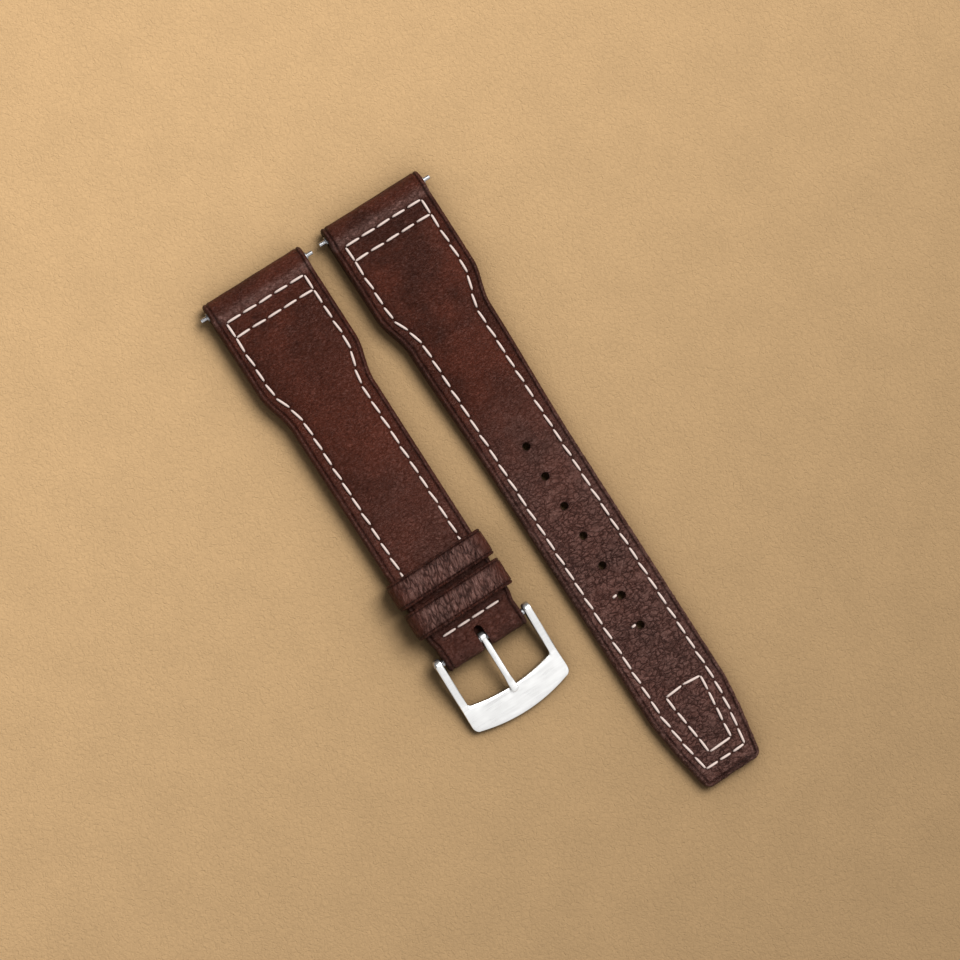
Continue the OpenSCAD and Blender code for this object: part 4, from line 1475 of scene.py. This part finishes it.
def set_camera(scene):
    """The photograph's viewing angle."""
    back = CAMERA_BACK.normalized()
    up = back.cross(CAMERA_RIGHT).normalized()
    turn = Matrix((up.cross(back), up, back)).transposed()
    data = bpy.data.cameras.new("camera")
    data.lens, data.sensor_width = LENS_MM, SENSOR_MM
    data.clip_start, data.clip_end = 0.02, 20
    camera = bpy.data.objects.new("camera", data)
    place = CAMERA_AIM + CAMERA_DISTANCE * back
    camera.matrix_world = Matrix.Translation(place) @ turn.to_4x4()
    scene.collection.objects.link(camera)
    scene.camera = camera


# Operators


class Step:
    """What the steps share."""

    bl_options = {"REGISTER", "UNDO"}


class STRAP_OT_covers(Step, bpy.types.Operator):
    """Builds the top leather of both halves"""

    bl_idname = "strap.covers"
    bl_label = "Top Leathers"

    def execute(self, context):
        for half in halves(context.scene):
            make_cover(half, finish_of(context, "grained_leather"))
        return {"FINISHED"}


class STRAP_OT_linings(Step, bpy.types.Operator):
    """Builds the underside leather of both halves"""

    bl_idname = "strap.linings"
    bl_label = "Linings"

    def execute(self, context):
        for half in halves(context.scene):
            make_underside(half, finish_of(context, "lining_leather"))
        return {"FINISHED"}


class STRAP_OT_padding(Step, bpy.types.Operator):
    """Builds the felt between the leathers"""

    bl_idname = "strap.padding"
    bl_label = "Padding"

    def execute(self, context):
        for half in halves(context.scene):
            make_padding(half, finish_of(context, "pressed_felt"))
        return {"FINISHED"}


class STRAP_OT_stitching(Step, bpy.types.Operator):
    """Sews both halves and the fold"""

    bl_idname = "strap.stitching"
    bl_label = "Stitching"

    def execute(self, context):
        finish = finish_of(context, "waxed_thread")
        for half in halves(context.scene):
            stitches = sewn_stitches(half) + (tacks(half) if half.long else [])
            make_stitching(half, stitches, half.name, finish)
            if not half.long:
                make_stitching(half, fold_stitches(half), "fold", finish)
        return {"FINISHED"}


class STRAP_OT_keepers(Step, bpy.types.Operator):
    """Builds the two leather keepers"""

    bl_idname = "strap.keepers"
    bl_label = "Keepers"

    def execute(self, context):
        half, sizes = Half(context.scene, "short"), in_mm(context.scene.strap_keepers)
        finish = finish_of(context, "keeper_leather")
        make_keeper(half, sizes, sizes.free_at, "free", "free_keeper", finish, seed=3)
        make_keeper(half, sizes, sizes.fixed_at, "fixed", half.body, finish, seed=8)
        return {"FINISHED"}


class STRAP_OT_buckle(Step, bpy.types.Operator):
    """Builds the steel frame of the buckle"""

    bl_idname = "strap.buckle"
    bl_label = "Buckle Frame"

    def execute(self, context):
        make_frame(finish_of(context, "brushed_steel"))
        return {"FINISHED"}


class STRAP_OT_tongue(Step, bpy.types.Operator):
    """Builds the steel tongue of the buckle"""

    bl_idname = "strap.tongue"
    bl_label = "Buckle Tongue"

    def execute(self, context):
        make_tongue(finish_of(context, "brushed_steel"))
        return {"FINISHED"}


class STRAP_OT_bars(Step, bpy.types.Operator):
    """Winds the springs and finishes the tubes and pins of the sprung bars"""

    bl_idname = "strap.bars"
    bl_label = "Sprung Bars"

    def execute(self, context):
        sizes = in_mm(context.scene.strap_bars)
        lug, buckle = (sizes.lug_spring, sizes.lug_coil), (sizes.buckle_spring, sizes.buckle_coil)
        for bar, coil in (("long", lug), ("short", lug), ("buckle", buckle)):
            for part in ("tube", "left_pin", "right_pin"):
                materials = frame["nodes"][f"{bar}_bar_{part}"].data.materials
                materials.clear()
                materials.append(finish_of(context, "turned_steel"))
            for side in ("left", "right"):
                make_spring(bar, side, *coil, sizes, finish_of(context, "spring_wire"))
        return {"FINISHED"}


class STRAP_OT_stage(Step, bpy.types.Operator):
    """Lays the floor and sets the lamp, the sky and the camera"""

    bl_idname = "strap.stage"
    bl_label = "Stage"

    def execute(self, context):
        settings = context.scene.strap_stage
        lay_floor(context.scene, settings.floor)
        set_key(context.scene, settings)
        set_sky(context.scene, settings.sky)
        set_camera(context.scene)
        return {"FINISHED"}


STEPS = (
    STRAP_OT_stage, STRAP_OT_covers, STRAP_OT_linings, STRAP_OT_padding, STRAP_OT_stitching,
    STRAP_OT_keepers, STRAP_OT_buckle, STRAP_OT_tongue, STRAP_OT_bars,
)
GROUPS = {
    "strap_sizes": StrapSizes, "strap_sewing": SewingSizes, "strap_keepers": KeeperSizes,
    "strap_buckle": BuckleSizes, "strap_bars": BarSizes, "strap_colours": FinishColours,
    "strap_stage": StageSettings,
}


class VIEW3D_PT_strap(bpy.types.Panel):
    """Lists the steps that build the strap and the sizes they use"""

    bl_idname = "VIEW3D_PT_strap"
    bl_label = "Leather Watch Strap"
    bl_space_type = "VIEW_3D"
    bl_region_type = "UI"
    bl_category = "Strap"

    def draw(self, context):
        for step in STEPS:
            self.layout.operator(step.bl_idname)
        for name in GROUPS:
            group = getattr(context.scene, name)
            box = self.layout.box()
            box.label(text=name.replace("_", " ").capitalize())
            for prop in own_properties(group):
                box.prop(group, prop.identifier)


CLASSES = (*GROUPS.values(), *STEPS, VIEW3D_PT_strap)


def register():
    for cls in CLASSES:
        bpy.utils.register_class(cls)
    for name, group in GROUPS.items():
        setattr(bpy.types.Scene, name, PointerProperty(type=group))


def unregister():
    for name in GROUPS:
        delattr(bpy.types.Scene, name)
    for cls in reversed(CLASSES):
        bpy.utils.unregister_class(cls)


def main():
    register()
    bpy.context.scene.view_settings.view_transform = "Standard"
    for step in STEPS:
        group, name = step.bl_idname.split(".")
        getattr(getattr(bpy.ops, group), name)()


if __name__ == "__main__":
    main()
